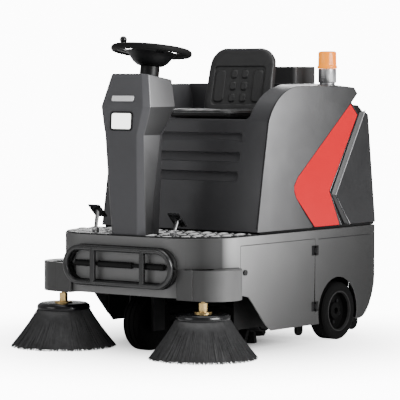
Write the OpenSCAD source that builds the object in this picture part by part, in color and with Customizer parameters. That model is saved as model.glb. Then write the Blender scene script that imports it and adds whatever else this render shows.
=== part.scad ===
// Compact ride-on floor sweeper.
// Frame: origin on the floor under the middle of the machine, +Z up, front towards -Y,
// +X to the operator's left. Millimetres. "Left" and "right" are the operator's.

/* [Lower body] */
// Half of the width over the lower body's sides
body_half_w = 434; // [430:1:438]
// Y of the flat front panel
front_y = -565; // [-568:1:-562]
// Y of the rearmost face
rear_y = 730; // [728:1:732]
// Plan radius of the two front corners
corner_r = 226; // [216:1:230]
// Height of the lower body's top edge and of the deck
deck_z = 495; // [492:1:498]
// Wall thickness of the moulded shells
wall = 5; // [4:0.5:6]

/* [Upper body] */
// Half of the width over the upper side shells
upper_half_w = 425; // [422:1:426]
// Half of the width of the console panel between the side shells
console_half_w = 298; // [290:1:300]
// Height of the rear deck behind the seat
rear_deck_z = 1124; // [1120:1:1128]

/* [Wheels] */
// Radius of the rear wheels
rear_wheel_r = 127; // [124:1:130]
// Width of the rear tyres
rear_wheel_w = 90; // [80:1:92]
// Y of the rear axle
rear_axle_y = 426; // [420:1:430]
// Radius of the front drive wheel
front_wheel_r = 122; // [118:1:126]
// Y of the front wheel's steering axis
steer_y = -400; // [-404:1:-396]

/* [Side brushes] */
// X of the side brushes' shafts
brush_x = 377; // [374:1:380]
// Y of the side brushes' shafts
brush_y = -503; // [-506:1:-500]
// Radius swept by the bristle tips at the floor
brush_tip_r = 228; // [224:1:230]

/* [Steering wheel] */
// Radius of the steering wheel's rim, on the tube's centreline
wheel_ring_r = 159; // [150:1:165]
// Lean of the steering column towards the operator, in degrees
column_tilt = 8.2; // [7:0.1:9]

/* [Main broom] */
// Radius of the main broom over its bristles
broom_r = 130; // [124:1:132]
// Half of the main broom's length
broom_half_w = 300; // [280:1:304]

/* [Hidden] */
$fn = 64;

gap = 1;                        // air between neighbouring panels
fit = 0.05;                     // radial clearance of a running fit
inf = 2000;                     // longer than anything on the machine
floor_z = 81;                   // lowest edge of the lower body's sides
panel_z = 248;                  // lower edge of the front panel
seam_z = 457;                   // top of the doors
door_front_y = -318;
door_rear_y = 230;
arch_r = 153;
arch_y = 411;
shell_z = 506;                  // lower edge of the upper body

function arc(c, r, a0, a1, n = 10) =
  [for (i = [0 : n]) let (a = a0 + (a1 - a0) * i / n) [c[0] + r * cos(a), c[1] + r * sin(a)]];
function mirrored(p) = [for (i = [len(p) - 1 : -1 : 0]) [-p[i][0], p[i][1]]];

// Extrudes an outline of (Y, Z) points along X
module along_x(x0, x1) {
  translate([x0, 0, 0]) rotate([90, 0, 90]) linear_extrude(x1 - x0) children();
}
// Extrudes an outline of (X, Z) points along Y
module along_y(y0, y1) {
  translate([0, y1, 0]) rotate([90, 0, 0]) linear_extrude(y1 - y0) children();
}
module both_sides() {
  children();
  mirror([1, 0, 0]) children();
}
module box(low, high) {
  translate(low) cube(high - low);
}
module rod_x(x0, x1, y, z, r) {
  translate([x0, y, z]) rotate([0, 90, 0]) cylinder(h = x1 - x0, r = r);
}
module rod_y(y0, y1, x, z, r) {
  translate([x, y0, z]) rotate([-90, 0, 0]) cylinder(h = y1 - y0, r = r);
}
module rod_z(z0, z1, x, y, r) {
  translate([x, y, z0]) cylinder(h = z1 - z0, r = r);
}
// A plate with round corners in the XY plane
module round_rect(w, h, r) {
  polygon(concat(
    arc([w / 2 - r, h / 2 - r], r, 0, 90, 6), arc([r - w / 2, h / 2 - r], r, 90, 180, 6),
    arc([r - w / 2, r - h / 2], r, 180, 270, 6), arc([w / 2 - r, r - h / 2], r, 270, 360, 6)));
}

// ---- Lower body ----

// Plan of the lower body, with large round corners at the front
module body_plan(inset = 0) {
  c = [body_half_w - corner_r, front_y + corner_r];
  rear_r = 34;
  half = concat(arc(c, corner_r - inset, -90, 0, 20),
    arc([body_half_w - rear_r, rear_y - rear_r], rear_r - inset, 0, 90, 6));
  polygon(concat(half, mirrored(half)));
}
// The rear end's curve in (Y, Z), an ellipse that tucks in towards the floor
function tail(inset = 0) =
  [for (i = [0 : 8]) let (a = i * 90 / 8)
    [rear_y - 150 + (150 - inset) * sin(a), floor_z + 339 - (339 - inset) * cos(a)]];
// Side outline in (Y, Z): the lower edge rises towards the side brushes
module body_profile(inset = 0, base = true) {
  front = [[front_y - 1 + inset, deck_z], [front_y - 1 + inset, panel_z]];
  rise = [[-303, panel_z], [-262, 239], [-232, 210], [-140, 113], [-99, floor_z + 4]];
  low = [[front_y - 1 + inset, 0], [rear_y - 150, 0]];
  polygon(concat([front[0]], base ? concat([front[1]], rise) : low, tail(inset),
    [[rear_y - inset, deck_z]]));
}
module body_block(inset = 0, base = true) {
  intersection() {
    translate([0, 0, -1]) linear_extrude(deck_z + 1) body_plan(inset);
    along_x(-inf, inf) body_profile(inset, base);
  }
}
// The moulded wall of the lower body, before its openings are cut
module body_skin() {
  difference() {
    body_block();
    translate([0, 0, 0.5]) body_block(wall, false);
  }
}
// The space of the left door, grown by g on its front, rear and top
module door_space(g = 0) {
  box([body_half_w - wall - 4, door_front_y - g, -1],
    [body_half_w + 1, door_rear_y + g, seam_z + g]);
}
hopper_half_w = 300;
hopper_z0 = 118;
hopper_z1 = 440;
// Opening in the rear wall for the hopper, grown by g
module hopper_space(g = 0) {
  box([-hopper_half_w - g, rear_y - 160, -1], [hopper_half_w + g, rear_y + 1, hopper_z1 + g]);
}
pod_x = 381;
pod_y = -440;
pod_r = 121;
pod_z0 = 241;
pod_z1 = 368;
// Moulded skirt with openings for the doors, pods, rear wheels and hopper
module lower_body() {
  color([0.33, 0.33, 0.34]) difference() {
    body_skin();
    both_sides() {
      door_space(gap);
      rod_z(0, pod_z1 + gap, pod_x, pod_y, pod_r + gap);
      rod_x(body_half_w - 60, body_half_w + 1, arch_y, rear_wheel_r, arch_r);
    }
    hopper_space(gap);
  }
}

// ---- Side doors, their hinges and turn knobs ----

hinge_x = body_half_w + 7;      // axis of the door hinges, outside the wall
hinge_pin_r = 3;
hinge_barrel_r = 6;
hinge_leaf_t = 3;
hinge_heights = [162, 407];
knob_yz = [-292, 345];
knob_stem_r = 6;
// Door panel with the hinges' moving leaves
module door() {
  knuckle_half = 10;
  difference() {
    intersection() {
      body_skin();
      door_space();
    }
    rod_x(body_half_w - 30, body_half_w + 9, knob_yz[0], knob_yz[1], knob_stem_r + fit);
  }
  for (z = hinge_heights) difference() {
    union() {
      box([body_half_w - 0.1, door_rear_y - 24, z - 21],
        [body_half_w + hinge_leaf_t, door_rear_y - 7, z + 21]);
      box([body_half_w, door_rear_y - 8, z - knuckle_half],
        [hinge_x, door_rear_y, z + knuckle_half]);
      rod_z(z - knuckle_half, z + knuckle_half, hinge_x, door_rear_y, hinge_barrel_r);
    }
    rod_z(z - 30, z + 30, hinge_x, door_rear_y, hinge_pin_r + fit);
    box([body_half_w - wall, door_rear_y - 0.5, z - 30],
      [hinge_x - hinge_barrel_r + 2, door_rear_y + 30, z + 30]);
  }
}
module door_left() { color([0.57, 0.57, 0.58]) door(); }
module door_right() { color([0.57, 0.57, 0.58]) mirror([1, 0, 0]) door(); }
// Fixed leaves with their outer knuckles and pins
module door_hinges() {
  color([0.06, 0.06, 0.06]) both_sides() for (z = hinge_heights) {
    box([body_half_w, door_rear_y + 7, z - 21], [body_half_w + hinge_leaf_t, door_rear_y + 24, z + 21]);
    for (k = [-21, 10.5]) {
      rod_z(z + k, z + k + 10.5, hinge_x, door_rear_y, hinge_barrel_r);
      box([body_half_w + gap / 2, door_rear_y, z + k], [hinge_x, door_rear_y + 8, z + k + 10.5]);
    }
    rod_z(z - 21, z + 21, hinge_x, door_rear_y, hinge_pin_r);
  }
}
// Knob, stem and the latch behind the door
module door_knob() {
  rod_x(body_half_w + gap / 2, body_half_w + 9, knob_yz[0], knob_yz[1], 12);
  rod_x(body_half_w - 12, body_half_w + 1, knob_yz[0], knob_yz[1], knob_stem_r);
  box([body_half_w - 15, knob_yz[0] - 5, knob_yz[1] - 6],
    [body_half_w - 12, knob_yz[0] + 5, knob_yz[1] + 16]);
}
module door_knobs_left() { color([0.05, 0.05, 0.05]) door_knob(); }
module door_knobs_right() { color([0.05, 0.05, 0.05]) mirror([1, 0, 0]) door_knob(); }

// ---- Deck ----

// Floor plate over the lower body, open round the column and the filter
module deck_plate() {
  color([0.08, 0.08, 0.08]) difference() {
    translate([0, 0, deck_z - 12]) linear_extrude(11.9) body_plan(wall + gap);
    box([-64, -500, 0], [64, -420, inf]);
    box([-230, 395, 0], [230, 490, inf]);
  }
}
mat_rear_y = -190;
// Rubber mat with raised bars, cut out round the column and the pedals
module deck_mat() {
  bar_pitch = 50;
  bar_long = 30;
  color([0.12, 0.12, 0.12]) difference() {
    union() {
      translate([0, 0, deck_z]) linear_extrude(5) intersection() {
        body_plan(6);
        translate([-inf, mat_rear_y - inf]) square([2 * inf, inf]);
      }
      for (x = [-360 : bar_pitch : 360], y = [-520 : bar_pitch : mat_rear_y - 30])
        if (abs(x) > 110 || y > -380)
          translate([x, y, deck_z + 4]) cube([bar_long, 5, 6]);
    }
    box([-106, -580, 0], [106, -396, inf]);
    both_sides() box([184, -524, 0], [216, -450, inf]);
  }
}

// ---- Upper body ----

console_base_y = -185;
console_lip_z = 980;
console_lip_y = -101;
console_floor_z = 930;
rail_x = 110;                   // seat rails on the platform
function console_y(z) = console_base_y
  + (console_lip_y - console_base_y) * (z - shell_z) / (console_lip_z - shell_z);
// The leaning front panel with three grooves, and the flat seat platform behind its lip
module seat_console() {
  grooves = [[886, 922], [800, 839], [717, 756]];
  groove_depth = 9;
  color([0.2, 0.2, 0.21]) difference() {
    union() {
      both_sides() box([rail_x - 15, -20, console_floor_z - 0.1],
        [rail_x + 15, 250, console_floor_z + 12]);
      along_x(-console_half_w, console_half_w) polygon([
      [console_y(shell_z), shell_z], [console_y(console_lip_z), console_lip_z],
      [console_lip_y + 24, console_lip_z], [console_lip_y + 26, console_floor_z],
      [330, console_floor_z], [330, console_floor_z - wall],
      [console_lip_y + 6, console_floor_z - wall], [console_base_y + 8, shell_z]]);
    }
    for (g = grooves) along_x(-290, 290) polygon([
      [console_y(g[0]) - 0.5, g[0]], [console_y(g[1]) + groove_depth, g[1]],
      [console_y(g[1]) - 2, g[1]]]);
  }
}
// Side outline of the upper side shell in (Y, Z)
function shell_outline() = concat(
  [[-183, shell_z], [-161, 643], [-140, 769], [-122, 862]],
  arc([120, 879], 240, 158, 90, 14),
  [[281, 1121], [502, 1117], [547, 1113], [571, 1086], [530, 1047], [583, 995], [360, 660],
    [450, shell_z]]);
// Recessed panel between the chevron and the rear cover
module channel_outline() {
  polygon([[526, 1040], [580, 992], [357, 659], [447, shell_z], [508, shell_z], [397, 642],
    [630, 1006], [600, 1035]]);
}
module shell_core(k) {
  c = [200, 800];
  translate(c) scale([k, k]) translate(-c) polygon(shell_outline());
}
// Chevron outline in (Y, Z)
module chevron_outline() {
  polygon([[519, 1042], [576, 992], [354, 659], [444, shell_z + 4], [240, shell_z + 4],
    [100, 640], [86, 668], [85, 694], [111, 729]]);
}
chevron_t = 4;
// Hollow moulding with a pocket for the chevron; only the wing outside the console rises above its lip
module side_shell() {
  inner_x = console_half_w + gap;
  wing_x = 322;
  c = [230, 690];
  difference() {
    union() {
      intersection() {
        along_x(inner_x, upper_half_w) polygon(shell_outline());
        box([0, -inf, 0], [inf, inf, console_lip_z]);
      }
      along_x(wing_x, upper_half_w) polygon(shell_outline());
      along_x(upper_half_w - 24, upper_half_w - 13) channel_outline();
    }
    intersection() {
      along_x(inner_x + wall, upper_half_w - wall - chevron_t) shell_core(0.975);
      box([0, -inf, 0], [inf, inf, console_lip_z - wall]);
    }
    along_x(wing_x + wall, upper_half_w - wall - chevron_t) shell_core(0.975);
    along_x(upper_half_w - chevron_t, upper_half_w + 1)
      translate(c) scale([1.006, 1.006]) translate(-c) chevron_outline();
    box([0, 250, console_floor_z - 20], [wing_x, 660, inf]);
  }
}
module side_shell_left() { color([0.4, 0.4, 0.41]) side_shell(); }
module side_shell_right() { color([0.4, 0.4, 0.41]) mirror([1, 0, 0]) side_shell(); }
module chevrons() {
  color([0.8, 0.1, 0.12]) both_sides()
    along_x(upper_half_w - chevron_t + 0.1, upper_half_w) chevron_outline();
}
// Panel that closes the top behind the seat, and its drop down to the seat platform
module rear_deck() {
  half = 321;
  color([0.16, 0.16, 0.17]) along_x(-half, half) polygon([
    [336, console_floor_z], [345, console_floor_z], [345, rear_deck_z - wall - 4],
    [548, rear_deck_z - wall - 8], [622, 1014], [630, 1020], [552, rear_deck_z - 6],
    [540, rear_deck_z], [346, rear_deck_z], [336, rear_deck_z - 12]]);
}
// Dark cover that wraps round the rear from side to side
module rear_cover() {
  outline = [[636, 1009], [667, 994], [rear_y - 1, shell_z], [517, shell_z], [403, 642]];
  color([0.15, 0.15, 0.16]) difference() {
    along_x(-upper_half_w, upper_half_w) polygon(outline);
    along_x(wall - upper_half_w, upper_half_w - wall)
      polygon([[380, 400], [380, 985], [655, 985], [rear_y - 7, shell_z], [rear_y - 7, 400]]);
  }
}
rear_box_top = 1207;
// Flat-topped box behind the seat
module rear_box() {
  long = 400;
  deep = 165;
  color([0.13, 0.13, 0.14]) translate([0, 415 + deep / 2, rear_deck_z + 0.2]) difference() {
    linear_extrude(rear_box_top - rear_deck_z - 0.2) round_rect(long, deep, 20);
    translate([0, 0, -1]) linear_extrude(70) round_rect(long - 2 * wall, deep - 2 * wall, 16);
  }
}
beacon_xy = [338, 463];
beacon_lens_z = 1198;
beacon_r = 40;
// Metal can on a foot, and the clear amber lens that caps it
module beacon_base() {
  color([0.65, 0.65, 0.66]) translate([beacon_xy[0], beacon_xy[1], rear_deck_z + 0.2]) difference() {
    union() {
      cylinder(h = 6, r = 21);
      cylinder(h = 14, r = 34);
      translate([0, 0, 12]) cylinder(h = beacon_lens_z - rear_deck_z - 12.2, r = beacon_r);
    }
    translate([0, 0, -1]) cylinder(h = 60, r = 7);
  }
}
module beacon_lens() {
  color([1, 0.55, 0.1]) translate([beacon_xy[0], beacon_xy[1], beacon_lens_z]) difference() {
    union() {
      cylinder(h = 12, r = beacon_r + 4);
      cylinder(h = 70, r = beacon_r);
      translate([0, 0, 69.9]) cylinder(h = 8, r1 = beacon_r, r2 = beacon_r - 8);
    }
    translate([0, 0, -0.1]) cylinder(h = 66, r = 34);
  }
}

// ---- Bumper and side-brush pods ----

bumper_y = -600;
bumper_z = 368;
bumper_tube_r = 12;
// Closed tube loop on four pegs, with two uprights and a backing plate
module bumper_loop() {
  half_len = 208.5;
  end_r = 73.5;
  upright_x = 133;
  upright_r = 13;
  peg_r = 9;
  plate_t = 4;
  color([0.07, 0.07, 0.07]) {
    for (s = [-1, 1]) {
      rod_x(-half_len, half_len, bumper_y, bumper_z + s * end_r, bumper_tube_r);
      translate([s * half_len, bumper_y, bumper_z]) rotate([90, 0, 0]) rotate([0, 0, -s * 90])
        rotate_extrude(angle = 180, $fn = 48) translate([end_r, 0]) circle(bumper_tube_r);
      rod_z(bumper_z - end_r, bumper_z + end_r, s * upright_x, bumper_y, upright_r);
      for (t = [-1, 1])
        rod_y(bumper_y, front_y - gap - 3, s * upright_x, bumper_z + t * end_r, peg_r);
    }
    along_y(front_y - gap - plate_t, front_y - gap) translate([0, bumper_z])
      round_rect(500, 168, 40);
  }
}
// Tie rod behind the loop, with three boots on it
rod_yz = [-581, 375];
rod_r = 5.9;                    // just clears the loop's uprights
rod_half = 225;
rod_boots = [[-235, -147], [-110, 68], [147, 235]];
boot_r = 11;
module bumper_rod() {
  color([0.05, 0.05, 0.05]) {
    rod_x(-rod_half, rod_half, rod_yz[0], rod_yz[1], rod_r);
    for (ends = rod_boots) rod_x(ends[0], ends[1], rod_yz[0], rod_yz[1], boot_r);
  }
}
// Half-hidden drums that hold the side brushes' motors
module brush_pods() {
  color([0.42, 0.42, 0.43]) both_sides() difference() {
    rod_z(pod_z0, pod_z1, pod_x, pod_y, pod_r);
    rod_z(pod_z0 - 1, pod_z1 - wall, pod_x, pod_y, pod_r - wall);
    rod_z(pod_z1 - 20, pod_z1 + 1, brush_x, brush_y, 46);
  }
}

// ---- Steering column ----

// Plan of the column cover: flat front, bevelled front corners, narrower back
module column_plan(w, b, front, side_end, back) {
  outer = w + b;
  half = [[w, front], [outer, front + b], [outer, side_end], [outer - 26, back]];
  polygon(concat(half, mirrored(half)));
}
module column_slice(z, w, b, front, side_end, back) {
  translate([0, 0, z]) linear_extrude(0.4) column_plan(w, b, front, side_end, back);
}
column_low = [deck_z + 0.5, 64, 28, -549, -478, -400];
column_mid = [628, 71, 25, -557, -476, -398];
column_neck = [921, 81, 24, -573, -438, -392];
head_low = concat([column_neck[0] + 0.5], [for (i = [1 : 5]) column_neck[i]]);
head_wide = [1038, 108, 25, -565, -370, -353];
head_top = [1176, 76, 24, -534, -352, -336];
module slice_of(s) { column_slice(s[0], s[1], s[2], s[3], s[4], s[5]); }
steer_centre = [0, -367, 1271];
module on_column() { translate(steer_centre) rotate([-column_tilt, 0, 0]) children(); }
headlight_z = 977;
headlight_y = -569;
headlight_lean = 3.9;           // lean of the head's front face at the headlight, in degrees
module on_headlight() {
  translate([0, headlight_y, headlight_z]) rotate([90 - headlight_lean, 0, 0]) children();
}
// Tapered cover between the deck and the head, hollow for the shaft
module column_cover() {
  color([0.29, 0.29, 0.31]) difference() {
    union() {
      hull() {
        slice_of(column_low);
        slice_of(column_mid);
      }
      hull() {
        slice_of(column_mid);
        slice_of(column_neck);
      }
    }
    on_column() translate([0, 0, -800]) cylinder(h = 800, r = 18);
    box([-56, -530, 400], [56, -430, 900]);
  }
}
head_cut = -118;                // the head's sloping top, along the column's axis
column_stub_r = 41;
// The head before its sloping top is cut
module head_blank() {
  hull() {
    slice_of(head_low);
    slice_of(head_wide);
  }
  hull() {
    slice_of(head_wide);
    slice_of(head_top);
  }
}
module column_head() {
  color([0.27, 0.27, 0.29]) difference() {
    union() {
      difference() {
        head_blank();
        on_column() translate([-inf / 2, -inf / 2, head_cut]) cube(inf);
      }
      on_column() translate([0, 0, head_cut - 2]) cylinder(h = -head_cut - 36, r = column_stub_r);
    }
    on_column() translate([0, 0, -500]) cylinder(h = 500, r = 13);
    box([-86, -500, 960], [86, -372, 1138]);
    on_headlight() translate([0, 0, -14]) linear_extrude(30) round_rect(112, 74, 12);
    box([-70, -372, 1060], [70, -330, 1130]);
  }
}
// Bezel of the headlight, and its lens
module headlight_frame() {
  color([0.05, 0.05, 0.05]) on_headlight() difference() {
    union() {
      translate([0, 0, -12]) linear_extrude(16) round_rect(111, 73, 12);
      translate([0, 0, 1]) linear_extrude(4) round_rect(119, 81, 14);
    }
    translate([0, 0, -8]) linear_extrude(20) round_rect(104, 66, 10);
  }
}
module headlight_lens() {
  color([1, 1, 0.96]) on_headlight() translate([0, 0, -7.9]) linear_extrude(11)
    round_rect(103, 65, 9);
}
// Flat panel on the operator's side of the head, with its controls
dash_y = -344;
control_spots = [[-36, 1095], [36, 1095]];
module dash_panel() {
  color([0.08, 0.08, 0.08]) difference() {
    box([-69, dash_y - 20, 1061], [69, dash_y, 1129]);
    box([-60, dash_y - 21, 1068], [60, dash_y - 5, 1122]);
    for (c = control_spots) rod_y(dash_y - 30, dash_y + 1, c[0], c[1], 6 + fit);
  }
}
module key_switch() {
  color([0.7, 0.7, 0.7]) translate([control_spots[0][0], dash_y, control_spots[0][1]])
  rotate([-90, 0, 0]) {
    translate([0, 0, -14]) cylinder(h = 18, r = 6);
    translate([0, 0, 1]) cylinder(h = 3, r = 9);
    translate([-1.5, -8, 3.9]) cube([3, 16, 22]);
  }
}
module stop_button() {
  color([0.8, 0.05, 0.05]) translate([control_spots[1][0], dash_y, control_spots[1][1]])
  rotate([-90, 0, 0]) {
    translate([0, 0, -14]) cylinder(h = 22, r = 6);
    translate([0, 0, 7]) cylinder(h = 10, r = 16);
  }
}
spoke_angles = [90, 210, 330];
// Spoke along +X; g makes the pocket for it in the rim
module spoke(g = 0) {
  translate([30, -20 - g, -18 - g]) cube([wheel_ring_r - 38, 40 + 2 * g, 9 + 2 * g]);
}
// Shaft, hub and spokes of the steering wheel turn together
module steering_shaft() {
  color([0.12, 0.12, 0.12]) on_column() {
    translate([0, 0, -680]) cylinder(h = 668, r = 13 - fit);
    translate([0, 0, -680]) cylinder(h = 40, r = 24);
    difference() {
      union() {
        translate([0, 0, -36]) cylinder(h = 30, r1 = 46, r2 = 82);
        for (a = spoke_angles) rotate([0, 0, a]) spoke();
      }
      translate([0, 0, -12]) cylinder(h = 30, r = 34 + gap);
    }
  }
}
rim_tube_r = 14;
// Rim tube with pockets for the spokes and a bore for the spinner knob's pin
module steering_rim() {
  color([0.06, 0.06, 0.06]) on_column() difference() {
    rotate_extrude() translate([wheel_ring_r, 0]) circle(rim_tube_r);
    for (a = spoke_angles) rotate([0, 0, a]) spoke(0.1);
    translate([knob_at[0], knob_at[1], 0]) cylinder(h = 30, r = 4 + fit);
  }
}
knob_at = [-wheel_ring_r, 0];
// Ball on a pin, for steering with one hand
module spinner_knob() {
  color([0.05, 0.05, 0.05]) on_column() translate([knob_at[0], knob_at[1], 0]) {
    translate([0, 0, 1]) cylinder(h = 40, r = 4);
    translate([0, 0, 15]) cylinder(h = 22, r1 = 8, r2 = 12);
    translate([0, 0, 50]) sphere(16);
  }
}
// Round cap that presses into the hub
module horn_button() {
  color([0.1, 0.1, 0.1]) on_column() translate([0, 0, -6]) {
    cylinder(h = 8, r = 34);
    translate([0, 0, 7.9]) cylinder(h = 5, r1 = 34, r2 = 22);
  }
}

// ---- Front drive wheel ----

turntable_z = 262;
// Turntable with the drive wheel's two cheeks and axle
module steering_fork() {
  color([0.2, 0.2, 0.22]) {
    translate([0, steer_y, 0]) {
      rod_z(turntable_z, turntable_z + 38, 0, 0, 70);
      rod_z(turntable_z + 37, turntable_z + 120, 0, 0, 25 - fit);
      box([-66, -60, turntable_z - 8], [66, 60, turntable_z + 0.1]);
      for (s = [-1, 1]) difference() {
        translate([s * 60, 0, 0]) box([-6, -40, front_wheel_r - 34], [6, 40, turntable_z]);
        rod_x(-80, 80, 0, front_wheel_r, 16);
      }
      rod_x(-66, 66, 0, front_wheel_r, 16);
    }
  }
}
module front_wheel() {
  groove = 6;                   // depth of the tread grooves
  color([0.05, 0.05, 0.05]) translate([0, steer_y, front_wheel_r]) rotate([0, 90, 0])
    rotate_extrude($fn = 96) polygon(concat(
      [[16 + fit, -36], [90, -30], [112, -40]],
      [for (z = [-24, 0, 24]) for (p = [[0, -3], [groove, -2], [groove, 2], [0, 3]])
        [front_wheel_r - p[0], z + p[1]]],
      [[112, 40], [90, 30], [16 + fit, 36]]));
}

// ---- Rear wheels on stub axles ----

wheel_x1 = 432;
wheel_x0 = wheel_x1 - rear_wheel_w;
axle_r = 14;
bolt_circle_r = 51;
// Ribbed tyre on a dished rim with five bolt holes, turning on the stub axle
module rear_wheel() {
  translate([wheel_x0, rear_axle_y, rear_wheel_r]) rotate([0, 90, 0]) difference() {
    rotate_extrude($fn = 96) polygon(concat(
      [[axle_r + fit, 10], [30, 10], [34, 14], [78, 14], [84, 2], [112, 0]],
      [for (z = [14 : 12 : 76]) for (p = [[0, 0], [0, 7], [4, 8], [4, 11]])
        [rear_wheel_r - p[0], z + p[1]]],
      [[112, rear_wheel_w], [88, rear_wheel_w - 2], [82, rear_wheel_w - 38],
        [38, rear_wheel_w - 40], [36, rear_wheel_w - 22], [22, rear_wheel_w - 18],
        [axle_r + fit, rear_wheel_w - 18]]));
    for (a = [0 : 72 : 288]) rotate([0, 0, a]) translate([bolt_circle_r, 0, 0])
      cylinder(h = 60, r = 5);
  }
}
module lug_bolts() {
  translate([wheel_x0, rear_axle_y, rear_wheel_r]) rotate([0, 90, 0])
    for (a = [0 : 72 : 288]) rotate([0, 0, a]) translate([bolt_circle_r, 0, 16]) {
      cylinder(h = 36, r = 5 - fit);
      translate([0, 0, rear_wheel_w - 55]) cylinder(h = 8, r = 8.5, $fn = 6);
    }
}
module rear_wheel_left() { color([0.05, 0.05, 0.05]) rear_wheel(); }
module rear_wheel_right() { color([0.05, 0.05, 0.05]) mirror([1, 0, 0]) rear_wheel(); }
module lug_bolts_left() { color([0.6, 0.6, 0.6]) lug_bolts(); }
module lug_bolts_right() { color([0.6, 0.6, 0.6]) mirror([1, 0, 0]) lug_bolts(); }

// ---- Side brushes ----

brush_plate_z = 165;
motor_z = 245;
// Motor can with its foot plate and two studs, bored for the brush's shaft
module brush_motor() {
  difference() {
    union() {
      rod_z(motor_z, motor_z + 72, brush_x, brush_y, 40);
      rod_z(motor_z + 1, motor_z + 7, brush_x - 8, brush_y + 18, 58);
      for (s = [-1, 1]) rod_z(motor_z - 8, motor_z + 1, brush_x + s * 52, brush_y, 7);
    }
    rod_z(motor_z - 1, motor_z + 40, brush_x, brush_y, 9 + fit);
  }
}
module brush_motor_left() { color([0.15, 0.15, 0.16]) brush_motor(); }
module brush_motor_right() { color([0.15, 0.15, 0.16]) mirror([1, 0, 0]) brush_motor(); }
// Shaft, brass collar and round bristle plate
module side_brush() {
  rod_z(brush_plate_z + 24, motor_z + 38, brush_x, brush_y, 9);
  rod_z(brush_plate_z + 30, brush_plate_z + 67, brush_x, brush_y, 18.5);
  rod_z(brush_plate_z + 25, brush_plate_z + 30.1, brush_x, brush_y, 38);
  translate([brush_x, brush_y, brush_plate_z]) rotate_extrude() polygon(concat(
    [[0, 0], [115, 0]], arc([95, 5], 20, 0, 90, 6), [[0, 25]]));
}
module side_brush_left() { color([0.72, 0.55, 0.25]) side_brush(); }
module side_brush_right() { color([0.72, 0.55, 0.25]) mirror([1, 0, 0]) side_brush(); }
// Cone of bristles from the plate to the floor
module bristles() {
  translate([brush_x, brush_y, 0]) rotate_extrude() polygon([
    [brush_tip_r - 60, 0], [brush_tip_r, 0], [112, brush_plate_z - 0.1], [60, brush_plate_z - 0.1]]);
}
module bristles_left() { color([0.1, 0.1, 0.1]) bristles(); }
module bristles_right() { color([0.1, 0.1, 0.1]) mirror([1, 0, 0]) bristles(); }

// ---- Main broom, hung from two arms ----

broom_y = 40;
broom_z = broom_r + 1;
arm_pivot = [230, 265];         // (Y, Z) of the arms' pivot
// Arms that carry the broom at both ends and lift it about the pivot
module broom_arms() {
  inner = broom_half_w + 6.1;
  color([0.3, 0.3, 0.32]) both_sides() difference() {
    union() {
      along_x(inner, inner + 8) polygon([
        [broom_y - 30, broom_z - 24], [broom_y + 30, broom_z - 24],
        [arm_pivot[0] + 20, arm_pivot[1] - 16], [arm_pivot[0] + 20, arm_pivot[1] + 18],
        [arm_pivot[0] - 24, arm_pivot[1] + 18], [broom_y - 30, broom_z + 34]]);
      rod_x(inner, inner + 8, arm_pivot[0], arm_pivot[1], 20);
    }
    rod_x(-inf, inf, broom_y, broom_z, 12 + fit);
    rod_x(-inf, inf, arm_pivot[0], arm_pivot[1], 8 + fit);
  }
}
motor_space_x = 196;            // the core is hollow from here to its left end, for the motor
module broom_core() {
  color([0.45, 0.45, 0.46]) difference() {
    union() {
      rod_x(-broom_half_w, broom_half_w, broom_y, broom_z, 70);
      rod_x(-broom_half_w - 13, -broom_half_w, broom_y, broom_z, 12);
    }
    rod_x(motor_space_x, inf, broom_y, broom_z, 64);
    rod_x(motor_space_x - 30, inf, broom_y, broom_z, 10 + fit);
  }
}
// Motor inside the core's left end, fixed to the arm, with the pin that the core turns on
module broom_motor() {
  color([0.3, 0.3, 0.33]) {
    rod_x(motor_space_x + 4, broom_half_w + 6, broom_y, broom_z, 60);
    rod_x(motor_space_x - 28, motor_space_x + 5, broom_y, broom_z, 10);
  }
}
// Bristle rows, in chevrons on the real part, as a grooved sleeve
module broom_bristles() {
  color([0.1, 0.1, 0.1]) difference() {
    rod_x(-broom_half_w + 2, broom_half_w - 2, broom_y, broom_z, broom_r);
    rod_x(-inf, inf, broom_y, broom_z, 70.1);
    for (a = [0 : 30 : 330]) translate([0, broom_y, broom_z]) rotate([a, 0, 0])
      box([-inf, -9, 84], [inf, 9, broom_r + 10]);
  }
}
// Rubber skirts that close the broom chamber at its sides
module side_skirts() {
  color([0.06, 0.06, 0.06]) both_sides() along_x(338, 342)
    polygon([[-212, 92], [-150, 92], [255, 88], [255, 330], [-240, 330], [-240, 120]]);
}

// ---- Pedals ----

pedal_x = 200;
pivot_z = 514;
pedal_pin_r = 4;
left_pivot_y = -476;
right_pivot_y = -500;
// Sloping foot plate on a flat stem, with a bored boss at the pivot
module pedal(pivot_y, front, rear) {
  mid = (front + rear) / 2;
  difference() {
    union() {
      along_x(pedal_x - 31, pedal_x + 31) polygon([front, rear, rear + [-4, -5], front + [-4, -5]]);
      along_x(pedal_x - 4, pedal_x + 4) polygon([
        mid + [8, -12], mid + [-10, 4], [pivot_y - 7, pivot_z], [pivot_y + 7, pivot_z]]);
      rod_x(pedal_x - 7, pedal_x + 7, pivot_y, pivot_z, 9);
    }
    rod_x(0, inf, pivot_y, pivot_z, pedal_pin_r + fit);
  }
}
module pedal_left() { color([0.05, 0.05, 0.05]) pedal(left_pivot_y, [-472, 594], [-418, 538]); }
module pedal_right() {
  color([0.05, 0.05, 0.05]) mirror([1, 0, 0]) pedal(right_pivot_y, [-510, 620], [-458, 570]);
}
// Foot, two cheeks and the pin that one pedal turns on
module pedal_bracket(y) {
  box([pedal_x - 14, y - 18, deck_z], [pedal_x + 14, y + 18, deck_z + 4]);
  for (x = [-13, 9]) box([pedal_x + x, y - 9, deck_z + 3], [pedal_x + x + 4, y + 9, pivot_z + 8]);
  rod_x(pedal_x - 13, pedal_x + 13, y, pivot_z, pedal_pin_r);
}
module pedal_brackets() {
  color([0.5, 0.5, 0.5]) {
    pedal_bracket(left_pivot_y);
    mirror([1, 0, 0]) pedal_bracket(right_pivot_y);
  }
}

// ---- Seat, sliding on two rails ----

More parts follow.
